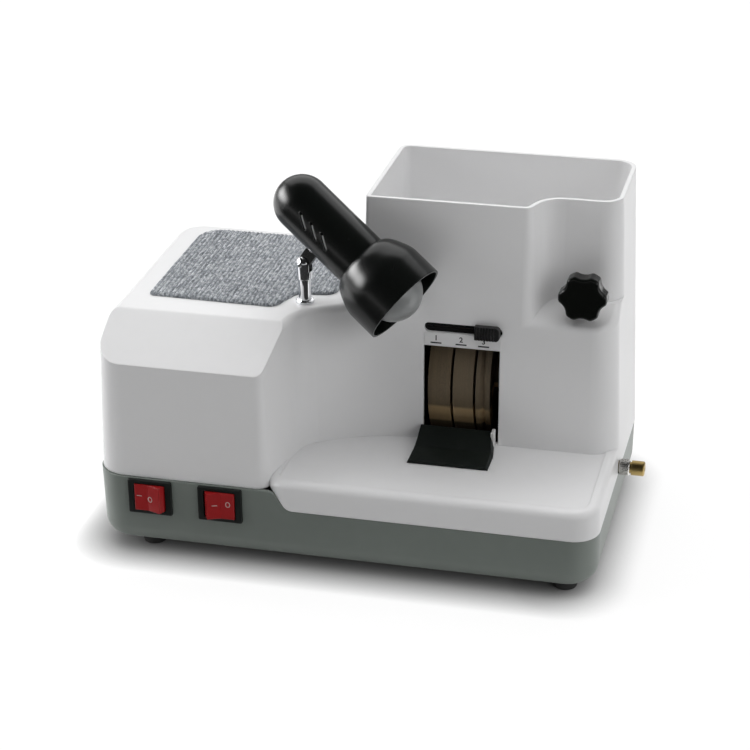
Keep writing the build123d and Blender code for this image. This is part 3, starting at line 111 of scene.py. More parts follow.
class Wires:
    """Short calls for the nodes of one tree."""

    def __init__(self, tree):
        self.tree = tree

    def node(self, kind, **settings):
        made = self.tree.nodes.new(kind)
        for key, value in settings.items():
            setattr(made, key, value)
        return made

    def join(self, a, b):
        self.tree.links.new(a, b)

    def feed(self, socket, value):
        """Link or set one input."""
        if isinstance(value, bpy.types.NodeSocket):
            self.join(value, socket)
        else:
            socket.default_value = value

    def math(self, operation, *values, clamp=False):
        made = self.node("ShaderNodeMath", operation=operation, use_clamp=clamp)
        for i, value in enumerate(values):
            self.feed(made.inputs[i], value)
        return made.outputs[0]

    def mix(self, factor, a, b, blend="MIX"):
        made = self.node("ShaderNodeMix", data_type="RGBA", blend_type=blend)
        self.feed(made.inputs[0], factor)
        self.feed(made.inputs[6], a)
        self.feed(made.inputs[7], b)
        return made.outputs[2]

    def span(self, value, low, high, to_low=0.0, to_high=1.0):
        made = self.node("ShaderNodeMapRange", clamp=True)
        for i, v in enumerate((value, low, high, to_low, to_high)):
            self.feed(made.inputs[i], v)
        return made.outputs[0]

    def coords(self, scale=(1, 1, 1), turn=(0, 0, 0)):
        place = self.node("ShaderNodeTexCoord")
        mapping = self.node("ShaderNodeMapping")
        self.join(place.outputs["Object"], mapping.inputs[0])
        mapping.inputs["Scale"].default_value = scale
        mapping.inputs["Rotation"].default_value = turn
        return mapping.outputs[0]

    def noise(self, where, scale, detail=3.0, rough=0.55, warp=0.0):
        made = self.node("ShaderNodeTexNoise")
        self.join(where, made.inputs["Vector"])
        self.feed(made.inputs["Scale"], scale)
        made.inputs["Detail"].default_value = detail
        made.inputs["Roughness"].default_value = rough
        made.inputs["Distortion"].default_value = warp
        return made.outputs[0]

    def cells(self, where, scale, feature="F1"):
        made = self.node("ShaderNodeTexVoronoi", feature=feature)
        self.join(where, made.inputs["Vector"])
        self.feed(made.inputs["Scale"], scale)
        return made.outputs[0]


def make_moulding_group():
    """Moulded skin: slow mottling of colour and gloss, and a fine eroded grain."""
    tree, inp, out = new_group(
        "moulded_skin",
        [
            ("Colour", "NodeSocketColor", (0.5, 0.5, 0.5, 1)),
            ("Mottle", "NodeSocketFloat", 0.04),
            ("Roughness", "NodeSocketFloat", 0.4),
            ("Gloss Drift", "NodeSocketFloat", 0.08),
            ("Grain Scale", "NodeSocketFloat", 1400.0),
            ("Grain", "NodeSocketFloat", 0.5),
        ],
        [("Colour", "NodeSocketColor"), ("Roughness", "NodeSocketFloat"), ("Height", "NodeSocketFloat")],
    )
    w = Wires(tree)
    where = w.coords()
    slow = w.noise(where, 14.0, 4.0)
    mid = w.noise(where, 95.0, 3.0)
    drift = w.math("ADD", w.math("MULTIPLY", slow, 0.65), w.math("MULTIPLY", mid, 0.35))
    swing = w.math("MULTIPLY", inp.outputs["Mottle"], 4.0)
    shade = w.math("ADD", 1.0, w.math("MULTIPLY", w.math("SUBTRACT", drift, 0.5), swing))
    tone = w.node("ShaderNodeCombineColor")
    for i in range(3):
        w.join(shade, tone.inputs[i])
    w.join(w.mix(1.0, inp.outputs["Colour"], tone.outputs[0], "MULTIPLY"), out.inputs["Colour"])
    wipe = w.noise(w.coords((1.0, 0.25, 0.6)), 60.0, 3.0)
    smear = w.math("SUBTRACT", w.math("ADD", wipe, w.math("MULTIPLY", slow, 0.5)), 0.75)
    gloss = w.math("MULTIPLY", smear, inp.outputs["Gloss Drift"])
    w.join(w.math("ADD", inp.outputs["Roughness"], gloss, clamp=True), out.inputs["Roughness"])
    grain = w.cells(where, inp.outputs["Grain Scale"], "SMOOTH_F1")
    fine = w.noise(where, w.math("MULTIPLY", inp.outputs["Grain Scale"], 1.7), 2.0)
    w.join(w.math("MULTIPLY", w.math("ADD", grain, fine), inp.outputs["Grain"]), out.inputs["Height"])
    return tree


def make_wear_group():
    """Mask of rubbed edges, broken up by noise; on the slider's ribs it also serves as a painted highlight.
    """
    tree, inp, out = new_group(
        "edge_wear",
        [("Width", "NodeSocketFloat", 0.0006), ("Amount", "NodeSocketFloat", 0.5)],
        [("Mask", "NodeSocketFloat")],
    )
    w = Wires(tree)
    bevel = w.node("ShaderNodeBevel", samples=4)
    w.join(inp.outputs["Width"], bevel.inputs["Radius"])
    facing = w.node("ShaderNodeNewGeometry")
    dot = w.node("ShaderNodeVectorMath", operation="DOT_PRODUCT")
    w.join(bevel.outputs[0], dot.inputs[0])
    w.join(facing.outputs["Normal"], dot.inputs[1])
    edge = w.span(dot.outputs["Value"], 0.99, 0.75)
    broken = w.span(w.noise(w.coords(), 160.0, 4.0, 0.65), 0.42, 0.62)
    mask = w.math("MULTIPLY", w.math("MULTIPLY", edge, broken), inp.outputs["Amount"], clamp=True)
    w.join(mask, out.inputs["Mask"])
    return tree


def make_dust_group():
    """Mask of dried grinding dust: on upward faces, in patches."""
    tree, inp, out = new_group(
        "settled_dust",
        [("Amount", "NodeSocketFloat", 0.3), ("Scale", "NodeSocketFloat", 60.0)],
        [("Mask", "NodeSocketFloat")],
    )
    w = Wires(tree)
    facing = w.node("ShaderNodeNewGeometry")
    parts = w.node("ShaderNodeSeparateXYZ")
    w.join(facing.outputs["Normal"], parts.inputs[0])
    up = w.span(parts.outputs["Z"], 0.2, 0.9)
    patch = w.span(w.noise(w.coords(), inp.outputs["Scale"], 5.0, 0.6, 0.4), 0.48, 0.72)
    mask = w.math("MULTIPLY", w.math("MULTIPLY", up, patch), inp.outputs["Amount"], clamp=True)
    w.join(mask, out.inputs["Mask"])
    return tree


SKIN = make_moulding_group()
WEAR = make_wear_group()
DUST = make_dust_group()


# ---------------------------------------------------------------- materials
def start_material(name, **shader_values):
    """A material with its Principled shader and a wires helper."""
    material = bpy.data.materials.new(name)
    material.use_nodes = True
    tree = material.node_tree
    shader = tree.nodes["Principled BSDF"]
    for key, value in shader_values.items():
        shader.inputs[key.replace("_", " ")].default_value = value
    return material, Wires(tree), shader


def use_group(w, tree, **values):
    made = w.node("ShaderNodeGroup", node_tree=tree)
    for key, value in values.items():
        w.feed(made.inputs[key.replace("_", " ")], value)
    return made


def add_bump(w, shader, height, strength, distance, soften=0.0):
    """Relief from a height, over edges rounded by soften where it is above zero."""
    bump = w.node("ShaderNodeBump")
    bump.inputs["Strength"].default_value = strength
    bump.inputs["Distance"].default_value = distance
    w.join(height, bump.inputs["Height"])
    if soften:
        rounded = w.node("ShaderNodeBevel", samples=6)
        rounded.inputs["Radius"].default_value = soften
        w.join(rounded.outputs[0], bump.inputs["Normal"])
    w.join(bump.outputs[0], shader.inputs["Normal"])


def moulded(name, colour, rough=0.4, mottle=0.03, drift=0.1, grain=0.5, grain_scale=1400.0, depth=0.00006,
            wear=0.4, worn=None, dust=0.0, dust_colour=(0.7, 0.7, 0.68, 1), dust_scale=60.0, soften=0.0006,
            **shader_values):
    """Moulded plastic, rubber or paint: skin, worn edges and a little dust."""
    material, w, shader = start_material(name, **shader_values)
    skin = use_group(w, SKIN, Colour=(*colour, 1), Mottle=mottle, Roughness=rough, Gloss_Drift=drift,
                     Grain_Scale=grain_scale, Grain=grain)
    rubbed = use_group(w, WEAR, Width=soften, Amount=wear)
    worn = worn or tuple(min(1.0, c * 1.25 + 0.02) for c in colour)
    tint = w.mix(rubbed.outputs["Mask"], skin.outputs["Colour"], (*worn, 1))
    if dust:
        settled = use_group(w, DUST, Amount=dust, Scale=dust_scale)
        tint = w.mix(settled.outputs["Mask"], tint, dust_colour)
    w.join(tint, shader.inputs["Base Color"])
    w.join(skin.outputs["Roughness"], shader.inputs["Roughness"])
    add_bump(w, shader, skin.outputs["Height"], 0.6, depth, soften)
    return material


def metal(name, colour, rough=0.3, brushed=0.0, direction=(1, 1, 40), wear=0.3, pits=0.0, soften=0.0004,
          **shader_values):
    """Bare or plated metal with turning marks, fingerprints and bright edges."""
    shader_values.setdefault("Metallic", 1.0)
    material, w, shader = start_material(name, **shader_values)
    where = w.coords()
    prints = w.noise(where, 90.0, 4.0, 0.6, 0.3)
    lines = w.noise(w.coords(direction), 420.0, 2.0)
    rubbed = use_group(w, WEAR, Width=soften, Amount=wear)
    tint = w.mix(w.span(prints, 0.35, 0.75, 0.0, 0.35), (*colour, 1), tuple(c * 0.78 for c in colour) + (1,))
    tint = w.mix(rubbed.outputs["Mask"], tint, tuple(min(1, c * 1.2) for c in colour) + (1,))
    w.join(tint, shader.inputs["Base Color"])
    gloss = w.math("ADD", rough, w.math("MULTIPLY", w.math("SUBTRACT", prints, 0.5), 0.18))
    gloss = w.math("ADD", gloss, w.math("MULTIPLY", lines, brushed * 0.3), clamp=True)
    w.join(gloss, shader.inputs["Roughness"])
    pitting = w.math("MULTIPLY", w.noise(where, 900.0, 3.0), pits)
    height = w.math("ADD", w.math("MULTIPLY", lines, brushed), pitting)
    add_bump(w, shader, height, 0.4, mm(0.08), soften)
    return material


# Three paler bands round each wheel, one at the front below the axis: painted light where light falls on the
# wheels' lower front.
LIT_BAND_AT = math.radians(-19.5)
LIT_BAND_LIFT = (2.3, 2.15, 1.85)


def grit(name, colour, dark, grain_scale, wet=0.3):
    """Bonded abrasive: grains in a dull bond, rings left by turning, and three paler bands of painted light,
    one at the front below the axis.
    """
    material, w, shader = start_material(name, Metallic=0.15)
    where = w.coords()
    place = w.node("ShaderNodeSeparateXYZ")
    w.join(w.node("ShaderNodeTexCoord").outputs["Object"], place.inputs[0])
    rise = w.math("SUBTRACT", place.outputs["Z"], WHEEL_AXIS.z)
    ahead = w.math("SUBTRACT", WHEEL_AXIS.y, place.outputs["Y"])
    angle = w.math("SUBTRACT", w.math("ARCTAN2", rise, ahead), LIT_BAND_AT)
    lit_band = w.span(w.math("COSINE", w.math("MULTIPLY", angle, 3.0)), 0.885, 0.94)
    grains = w.cells(where, grain_scale)
    speck = w.span(grains, 0.15, 0.6, 0.0, 0.7)
    rings = w.noise(w.coords((1.0, 0.015, 0.015)), 700.0, 3.0)
    stain = w.noise(where, 40.0, 4.0, 0.55)
    tint = w.mix(speck, (*colour, 1), (*dark, 1))
    tint = w.mix(w.span(rings, 0.42, 0.7, 0.0, 0.4), tint, (*dark, 1))
    tint = w.mix(w.span(stain, 0.4, 0.8, 0.0, 0.35), tint, tuple(c * 0.7 for c in colour) + (1,))
    # The bands' paler colour is painted light, not a mark in the grit.
    pale = tuple(c * lift for c, lift in zip(colour, LIT_BAND_LIFT))
    tint = w.mix(w.math("MULTIPLY", lit_band, 0.75), tint, (*pale, 1))
    w.join(tint, shader.inputs["Base Color"])
    w.join(w.span(stain, 0.4, 0.65, 0.6, 0.6 - wet), shader.inputs["Roughness"])
    add_bump(w, shader, w.math("ADD", grains, w.math("MULTIPLY", rings, 0.6)), 0.6, mm(0.1))
    return material


finishes = {
    "cover": moulded("cover_moulding", (0.86, 0.86, 0.865), rough=0.36, mottle=0.01, drift=0.1, grain=0.3,
                     wear=0.2, worn=(0.92, 0.92, 0.92), dust=0.06, dust_colour=(0.66, 0.66, 0.64, 1),
                     soften=0.0012, Specular_IOR_Level=0.3),
    "base": moulded("base_moulding", (0.205, 0.232, 0.212), rough=0.42, mottle=0.05, drift=0.14, grain=0.6,
                    wear=0.4, worn=(0.32, 0.35, 0.33), dust=0.2, dust_colour=(0.44, 0.46, 0.44, 1),
                    soften=0.001, Specular_IOR_Level=0.35),
    "feet": moulded("foot_rubber", (0.028, 0.028, 0.028), rough=0.75, mottle=0.12, grain=0.8, wear=0.6,
                    dust=0.5),
    "bezel": moulded("switch_frame_plastic", (0.011, 0.014, 0.0125), rough=0.42, mottle=0.1, wear=0.4,
                     worn=(0.05, 0.055, 0.05), dust=0.15, dust_colour=(0.10, 0.10, 0.09, 1), soften=0.0005,
                     Specular_IOR_Level=0.3),
    "rocker": moulded("rocker_red", (0.40, 0.013, 0.015), rough=0.24, mottle=0.06, grain=0.1, wear=0.4,
                      worn=(0.66, 0.08, 0.07), soften=0.0007, Specular_IOR_Level=0.5),
    "tub": moulded("chamber_plastic", (0.016, 0.016, 0.016), rough=0.3, mottle=0.15, drift=0.3, dust=0.6,
                   dust_scale=30.0, dust_colour=(0.30, 0.29, 0.26, 1)),
    "seal": moulded("seal_rubber", (0.007, 0.007, 0.007), rough=0.7, mottle=0.1, Specular_IOR_Level=0.15),
    "black_plastic": moulded("inlet_plastic", (0.02, 0.02, 0.02), rough=0.4, mottle=0.1, wear=0.4,
                             dust=0.2),
    "apron": moulded("apron_matt", (0.0075, 0.0105, 0.009), rough=0.6, mottle=0.12, grain=0.8, wear=0.3,
                     worn=(0.03, 0.036, 0.033), dust=0.12, dust_colour=(0.035, 0.04, 0.036, 1),
                     Specular_IOR_Level=0.2),
    "clip": moulded("clip_white", (0.85, 0.85, 0.84), rough=0.4, mottle=0.02),
    # The slider's rib edges are rubbed fully pale: partly wear, and partly a painted highlight along the
    # ribs.
    "slider": moulded("slider_black", (0.010, 0.010, 0.010), rough=0.34, mottle=0.1, wear=1.0,
                      worn=(0.16, 0.16, 0.16), soften=0.00035),
    "knob": moulded("knob_black", (0.003, 0.004, 0.003), rough=0.2, mottle=0.1, drift=0.12, grain=0.08,
                    wear=0.2, worn=(0.02, 0.02, 0.02), soften=0.0008, Specular_IOR_Level=0.35),
    "lamp_black": moulded("lamp_satin_black", (0.003, 0.004, 0.0035), rough=0.26, mottle=0.1, drift=0.08,
                          grain=0.05, wear=0.12, worn=(0.02, 0.02, 0.02), soften=0.0006),
    "holder": moulded("holder_white", (0.78, 0.77, 0.73), rough=0.4, mottle=0.05),
    "capacitor": moulded("capacitor_can", (0.62, 0.62, 0.6), rough=0.45, mottle=0.04),
    "mat": moulded("mat_core", (0.30, 0.32, 0.34), rough=0.85, mottle=0.1, grain=0.8),
    "label": moulded("label_vinyl", (0.80, 0.80, 0.80), rough=0.45, mottle=0.02, grain=0.2, wear=0.2),
    "print_dark": moulded("print_ink_dark", (0.020, 0.021, 0.022), rough=0.5, mottle=0.15, grain=0.3),
    "print_pale": moulded("print_ink_pale", (0.72, 0.52, 0.50), rough=0.4, mottle=0.08, grain=0.2),
    "liner": moulded("liner_paint", (0.42, 0.43, 0.43), rough=0.4, mottle=0.03, grain=0.2, wear=0.1),
    "screw": metal("screw_steel", (0.52, 0.52, 0.53), 0.3, brushed=0.3),
    "copper": metal("blade_brass", (0.72, 0.52, 0.26), 0.3, brushed=0.3),
    "cast": metal("cast_alloy", (0.52, 0.53, 0.54), 0.5, pits=1.0),
    "core": metal("lamination_steel", (0.20, 0.19, 0.18), 0.5, brushed=0.8, direction=(60, 1, 1)),
    "shaft": metal("ground_shaft", (0.62, 0.62, 0.64), 0.2, brushed=0.4, direction=(60, 1, 1)),
    "spacer": metal("turned_alloy", (0.66, 0.66, 0.67), 0.3, brushed=0.6),
    "brass": metal("turned_brass", (0.41, 0.30, 0.12), 0.26, brushed=0.5, direction=(60, 1, 1)),
    "nickel": metal("nickel_plate", (0.66, 0.65, 0.62), 0.2, brushed=0.3, direction=(60, 1, 1)),
    "chrome": metal("bright_chrome", (0.78, 0.79, 0.81), 0.07, brushed=0.05, soften=0.0006),
    "tube": metal("bent_brass_tube", (0.68, 0.5, 0.26), 0.3, brushed=0.3),
    "grit_coarse": grit("coarse_wheel", (0.285, 0.215, 0.130), (0.115, 0.087, 0.055), 2600.0),
    "grit_fine": grit("fine_wheel", (0.295, 0.225, 0.140), (0.125, 0.096, 0.062), 4200.0),
    "grit_bevel": grit("bevel_wheel", (0.270, 0.208, 0.128), (0.112, 0.086, 0.056), 4200.0),
}


def make_bulb_material():
    """Frosted, softly reflecting glass over a pale inside."""
    material, w, shader = start_material("frosted_bulb", Coat_Weight=0.35, Coat_Roughness=0.15)
    haze = w.noise(w.coords(), 35.0, 4.0, 0.6)
    frost = w.mix(w.span(haze, 0.3, 0.8), (0.30, 0.31, 0.31, 1), (0.22, 0.23, 0.23, 1))
    w.join(frost, shader.inputs["Base Color"])
    w.join(w.span(haze, 0.3, 0.8, 0.28, 0.42), shader.inputs["Roughness"])
    return material


finishes["bulb"] = make_bulb_material()
slot_of = {row["node"]: row["material_slot"] for row in frame["record"]["subparts"]}
for name, node in nodes.items():
    node.data.materials.clear()
    node.data.materials.append(finishes[slot_of[name]])

# ---------------------------------------------------------------- helpers for added pieces
def body_named(node):
    """The body that a CAD node rides on."""
    held = body_of(nodes[node])
    return held[0] if isinstance(held, (list, tuple)) else held


housing = body_named("top_cover")


def show(name, verts, edges, faces):
    """A new mesh object at the origin, in the scene."""
    mesh = bpy.data.meshes.new(name)
    mesh.from_pydata([tuple(v) for v in verts], edges, faces)
    obj = bpy.data.objects.new(name, mesh)
    bpy.context.scene.collection.objects.link(obj)
    return obj


def finish_piece(obj, body, material, smooth=True):
    """Shared end of every added piece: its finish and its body."""
    if material is not None:
        obj.data.materials.clear()
        obj.data.materials.append(material)
    if smooth:
        obj.data.shade_smooth()
    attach(obj, body)


def tidy_mesh(mesh, gap=1e-6):
    """Merges doubles and turns the faces outwards."""
    bm = bmesh.new()
    bm.from_mesh(mesh)
    bmesh.ops.remove_doubles(bm, verts=bm.verts, dist=gap)
    bmesh.ops.recalc_face_normals(bm, faces=bm.faces)
    bm.to_mesh(mesh)
    bm.free()


def baked(obj):
    """Replaces an object's mesh by its evaluated one and drops its modifiers."""
    depsgraph = bpy.context.evaluated_depsgraph_get()
    mesh = bpy.data.meshes.new_from_object(obj.evaluated_get(depsgraph))
    obj.modifiers.clear()
    obj.data = mesh
    return obj


def new_tree(name, inputs):
    """An empty geometry tree with a Geometry input and output and named inputs."""
    tree = bpy.data.node_groups.new(name, "GeometryNodeTree")
    tree.interface.new_socket("Geometry", in_out="INPUT", socket_type="NodeSocketGeometry")
    for label, kind, value in inputs:
        made = tree.interface.new_socket(label, in_out="INPUT", socket_type=kind)
        if value is not None:
            made.default_value = value
    tree.interface.new_socket("Geometry", in_out="OUTPUT", socket_type="NodeSocketGeometry")
    return tree, tree.nodes.new("NodeGroupInput"), tree.nodes.new("NodeGroupOutput")


def grow(obj, tree, **values):
    """Runs a geometry tree on an object with inputs set by identifier, and keeps the plain mesh."""
    modifier = obj.modifiers.new("grow", "NODES")
    modifier.node_group = tree
    for item in tree.interface.items_tree:
        if item.item_type == "SOCKET" and item.in_out == "INPUT" and item.name.replace(" ", "_") in values:
            modifier[item.identifier] = values[item.name.replace(" ", "_")]
    return baked(obj)


def make_bead_tree():
    """A round bead along the input's edges, such as a moulded lip."""
    tree, inp, out = new_tree("bead_along_edges", [
        ("Bead Radius", "NodeSocketFloat", 0.0004),
        ("Sides", "NodeSocketInt", 8),
        ("Finish", "NodeSocketMaterial", None),
    ])
    w = Wires(tree)
    path = w.node("GeometryNodeMeshToCurve")
    w.join(inp.outputs["Geometry"], path.inputs["Mesh"])
    ring = w.node("GeometryNodeCurvePrimitiveCircle")
    w.join(inp.outputs["Sides"], ring.inputs["Resolution"])
    w.join(inp.outputs["Bead Radius"], ring.inputs["Radius"])
    sweep = w.node("GeometryNodeCurveToMesh")
    w.join(path.outputs[0], sweep.inputs["Curve"])
    w.join(ring.outputs[0], sweep.inputs["Profile Curve"])
    sweep.inputs["Fill Caps"].default_value = True
    end_tree(w, sweep.outputs[0], inp, out)
    return tree


def end_tree(w, geometry, inp, out):
    """Realize Instances and Set Material, as every tree here ends."""
    real = w.node("GeometryNodeRealizeInstances")
    w.join(geometry, real.inputs[0])
    dress = w.node("GeometryNodeSetMaterial")
    w.join(real.outputs[0], dress.inputs["Geometry"])
    w.join(inp.outputs["Finish"], dress.inputs["Material"])
    w.join(dress.outputs[0], out.inputs["Geometry"])


def make_rib_tree():
    """Straight ribs round the Z axis, such as a knurl, centred on the origin's plane."""
    tree, inp, out = new_tree("ribs_round_axis", [
        ("Radius", "NodeSocketFloat", 0.005),
        ("Rib Width", "NodeSocketFloat", 0.0005),
        ("Rib Height", "NodeSocketFloat", 0.0004),
        ("Rib Length", "NodeSocketFloat", 0.004),
        ("Count", "NodeSocketInt", 24),
        ("Finish", "NodeSocketMaterial", None),
    ])
    w = Wires(tree)
    size = w.node("ShaderNodeCombineXYZ")
    w.join(inp.outputs["Rib Height"], size.inputs[0])
    w.join(inp.outputs["Rib Width"], size.inputs[1])
    w.join(inp.outputs["Rib Length"], size.inputs[2])
    rib = w.node("GeometryNodeMeshCube")
    w.join(size.outputs[0], rib.inputs["Size"])
    circle = w.node("GeometryNodeMeshCircle")
    w.join(inp.outputs["Count"], circle.inputs["Vertices"])
    w.join(inp.outputs["Radius"], circle.inputs["Radius"])
    place = w.node("GeometryNodeInputPosition")
    aimed = w.node("FunctionNodeAlignRotationToVector", axis="X")
    w.join(place.outputs[0], aimed.inputs["Vector"])
    many = w.node("GeometryNodeInstanceOnPoints")
    w.join(circle.outputs[0], many.inputs["Points"])
    w.join(rib.outputs["Mesh"], many.inputs["Instance"])
    w.join(aimed.outputs[0], many.inputs["Rotation"])
    end_tree(w, many.outputs[0], inp, out)
    return tree


def make_screw_tree():
    """Copies of one screw head, from an object, on points that carry the direction they face."""
    tree, inp, out = new_tree("screw_heads_on_points", [
        ("Head", "NodeSocketObject", None),
        ("Turn Seed", "NodeSocketInt", 7),
        ("Finish", "NodeSocketMaterial", None),
    ])
    w = Wires(tree)
    head = w.node("GeometryNodeObjectInfo", transform_space="ORIGINAL")
    w.join(inp.outputs["Head"], head.inputs["Object"])
    facing = w.node("GeometryNodeInputNamedAttribute", data_type="FLOAT_VECTOR")
    facing.inputs["Name"].default_value = "facing"
    aimed = w.node("FunctionNodeAlignRotationToVector", axis="Z")
    w.join(facing.outputs[0], aimed.inputs["Vector"])
    spin = w.node("FunctionNodeRandomValue", data_type="FLOAT")
    spin.inputs["Min"].default_value = 0.0
    spin.inputs["Max"].default_value = math.pi
    w.join(inp.outputs["Turn Seed"], spin.inputs["Seed"])
    about = w.node("FunctionNodeAxisAngleToRotation")
    about.inputs["Axis"].default_value = (0, 0, 1)
    w.join(spin.outputs[1], about.inputs["Angle"])
    turned = w.node("FunctionNodeRotateRotation", rotation_space="LOCAL")
    w.join(aimed.outputs[0], turned.inputs["Rotation"])
    w.join(about.outputs[0], turned.inputs["Rotate By"])
    many = w.node("GeometryNodeInstanceOnPoints")
    w.join(inp.outputs["Geometry"], many.inputs["Points"])
    w.join(head.outputs["Geometry"], many.inputs["Instance"])
    w.join(turned.outputs[0], many.inputs["Rotation"])
    end_tree(w, many.outputs[0], inp, out)
    return tree


BEAD = make_bead_tree()
RIBS = make_rib_tree()
SCREWS = make_screw_tree()


# ---------------------------------------------------------------- knitted mat on the ledge
MAT_CORNERS = [
    (22.0, 69.0, 4.0), (112.7, 67.0, 8.0), (121.5, 92.0, 7.0),
    (148.0, 96.0, 9.0), (147.5, 194.0, 14.0), (23.0, 194.0, 17.0),
]
MAT_BOTTOM, MAT_TOP = 164.6, 167.0
RIB_PITCH, STITCH_PITCH = 3.1, 2.3


def rounded_outline(corners, steps=7):
    """Points round a polygon, given as (x, y, radius), with its corners rounded."""
    points = []
    for i, (x, y, radius) in enumerate(corners):
        here = Vector((x, y))
        before = Vector(corners[i - 1][:2]) - here
        after = Vector(corners[(i + 1) % len(corners)][:2]) - here
        half = before.angle(after) / 2
        reach = radius / math.tan(half)
        first = here + before.normalized() * reach
        last = here + after.normalized() * reach
        centre = here + (before.normalized() + after.normalized()).normalized() * (radius / math.sin(half))
        a, b = first - centre, last - centre
        for k in range(steps + 1):
            t = k / steps
            ray = a.lerp(b, t).normalized() * radius
            points.append(centre + ray)
    return points


def outline_distance(points, x, y):
    """Signed distance from grid points to a closed outline, negative inside, and its nearest point."""
    best = np.full(x.shape, 1e9)
    near_x, near_y = x.copy(), y.copy()
    inside = np.zeros(x.shape, bool)
    for i in range(len(points)):
        ax, ay = points[i - 1]
        bx, by = points[i]
        dx, dy = bx - ax, by - ay
        t = np.clip(((x - ax) * dx + (y - ay) * dy) / (dx * dx + dy * dy + 1e-12), 0, 1)
        qx, qy = ax + t * dx, ay + t * dy
        far = np.hypot(x - qx, y - qy)
        closer = far < best
        best = np.where(closer, far, best)
        near_x, near_y = np.where(closer, qx, near_x), np.where(closer, qy, near_y)
        crosses = ((ay > y) != (by > y)) & (x < (bx - ax) * (y - ay) / (by - ay + 1e-12) + ax)
        inside ^= crosses
    return np.where(inside, -best, best), near_x, near_y


def knit_height(x, y):
    """Relief of the rib knit, 0 to 1: rows from front to back, each a chain of leaning loops."""
    row = x / RIB_PITCH
    across = row - np.floor(row)
    rib = np.abs(np.sin(np.pi * across)) ** 0.7
    lean = np.abs(across - 0.5) * 1.1
    loop = 0.5 + 0.5 * np.cos(2 * np.pi * (y / STITCH_PITCH + lean + 0.37 * np.floor(row)))
    return rib * (0.62 + 0.38 * loop)


def make_knit_mat():
    """The mat as one laid sheet: a relief of knitted rows, soft rolled edges and a flat underside."""
    outline = rounded_outline(MAT_CORNERS)
    step_x, step_y = RIB_PITCH / 5, STITCH_PITCH / 3
    xs = np.arange(21.0, 151.6, step_x)
    ys = np.arange(66.0, 197.1, step_y)
    x, y = np.meshgrid(xs, ys, indexing="ij")
    distance, near_x, near_y = outline_distance(outline, x, y)
    snapped = np.abs(distance) < 0.5 * max(step_x, step_y)
    x, y = np.where(snapped, near_x, x), np.where(snapped, near_y, y)
    distance = np.where(snapped, 0.0, distance)
    rng = np.random.default_rng(5)
    wave = 0.12 * np.sin(x / 17.0 + 0.6) * np.cos(y / 23.0 - 0.4)
    fuzz = rng.normal(0.0, 0.03, x.shape)
    edge = np.clip(-distance / 1.6, 0, 1)
    roll = 1.1 * (1 - np.sqrt(np.clip(1 - (1 - edge) ** 2, 0, 1)))
    z = MAT_TOP - 0.8 + 0.85 * knit_height(x, y) + wave + fuzz - roll
    keep = distance < 1e-6
    number = -np.ones(x.shape, int)
    number[keep] = np.arange(keep.sum())
    verts = [spot(a, b, c) for a, b, c in zip(x[keep], y[keep], z[keep])]
    faces = []
    for i in range(x.shape[0] - 1):
        for j in range(x.shape[1] - 1):
            ring = [number[i, j], number[i + 1, j], number[i + 1, j + 1], number[i, j + 1]]
            ring = [n for n in ring if n >= 0]
            if len(ring) >= 3:
                faces.append(ring)
    mat = show("knit_mat", verts, [], faces)
    bm = bmesh.new()
    bm.from_mesh(mat.data)
    loose = [v for v in bm.verts if not v.link_faces]
    bmesh.ops.delete(bm, geom=loose, context="VERTS")
    bmesh.ops.recalc_face_normals(bm, faces=bm.faces)
    rim = [e for e in bm.edges if e.is_boundary]
    skirt = bmesh.ops.extrude_edge_only(bm, edges=rim)["geom"]
    low = [v for v in skirt if isinstance(v, bmesh.types.BMVert)]
    for vert in low:
        vert.co.z = mm(MAT_BOTTOM)
    bmesh.ops.holes_fill(bm, edges=[e for e in bm.edges if e.is_boundary], sides=0)
    bmesh.ops.triangulate(bm, faces=[f for f in bm.faces if len(f.verts) > 4])
    bmesh.ops.recalc_face_normals(bm, faces=bm.faces)
    bm.to_mesh(mat.data)
    bm.free()
    finish_piece(mat, housing, make_knit_material())
    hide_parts("bench_mat")


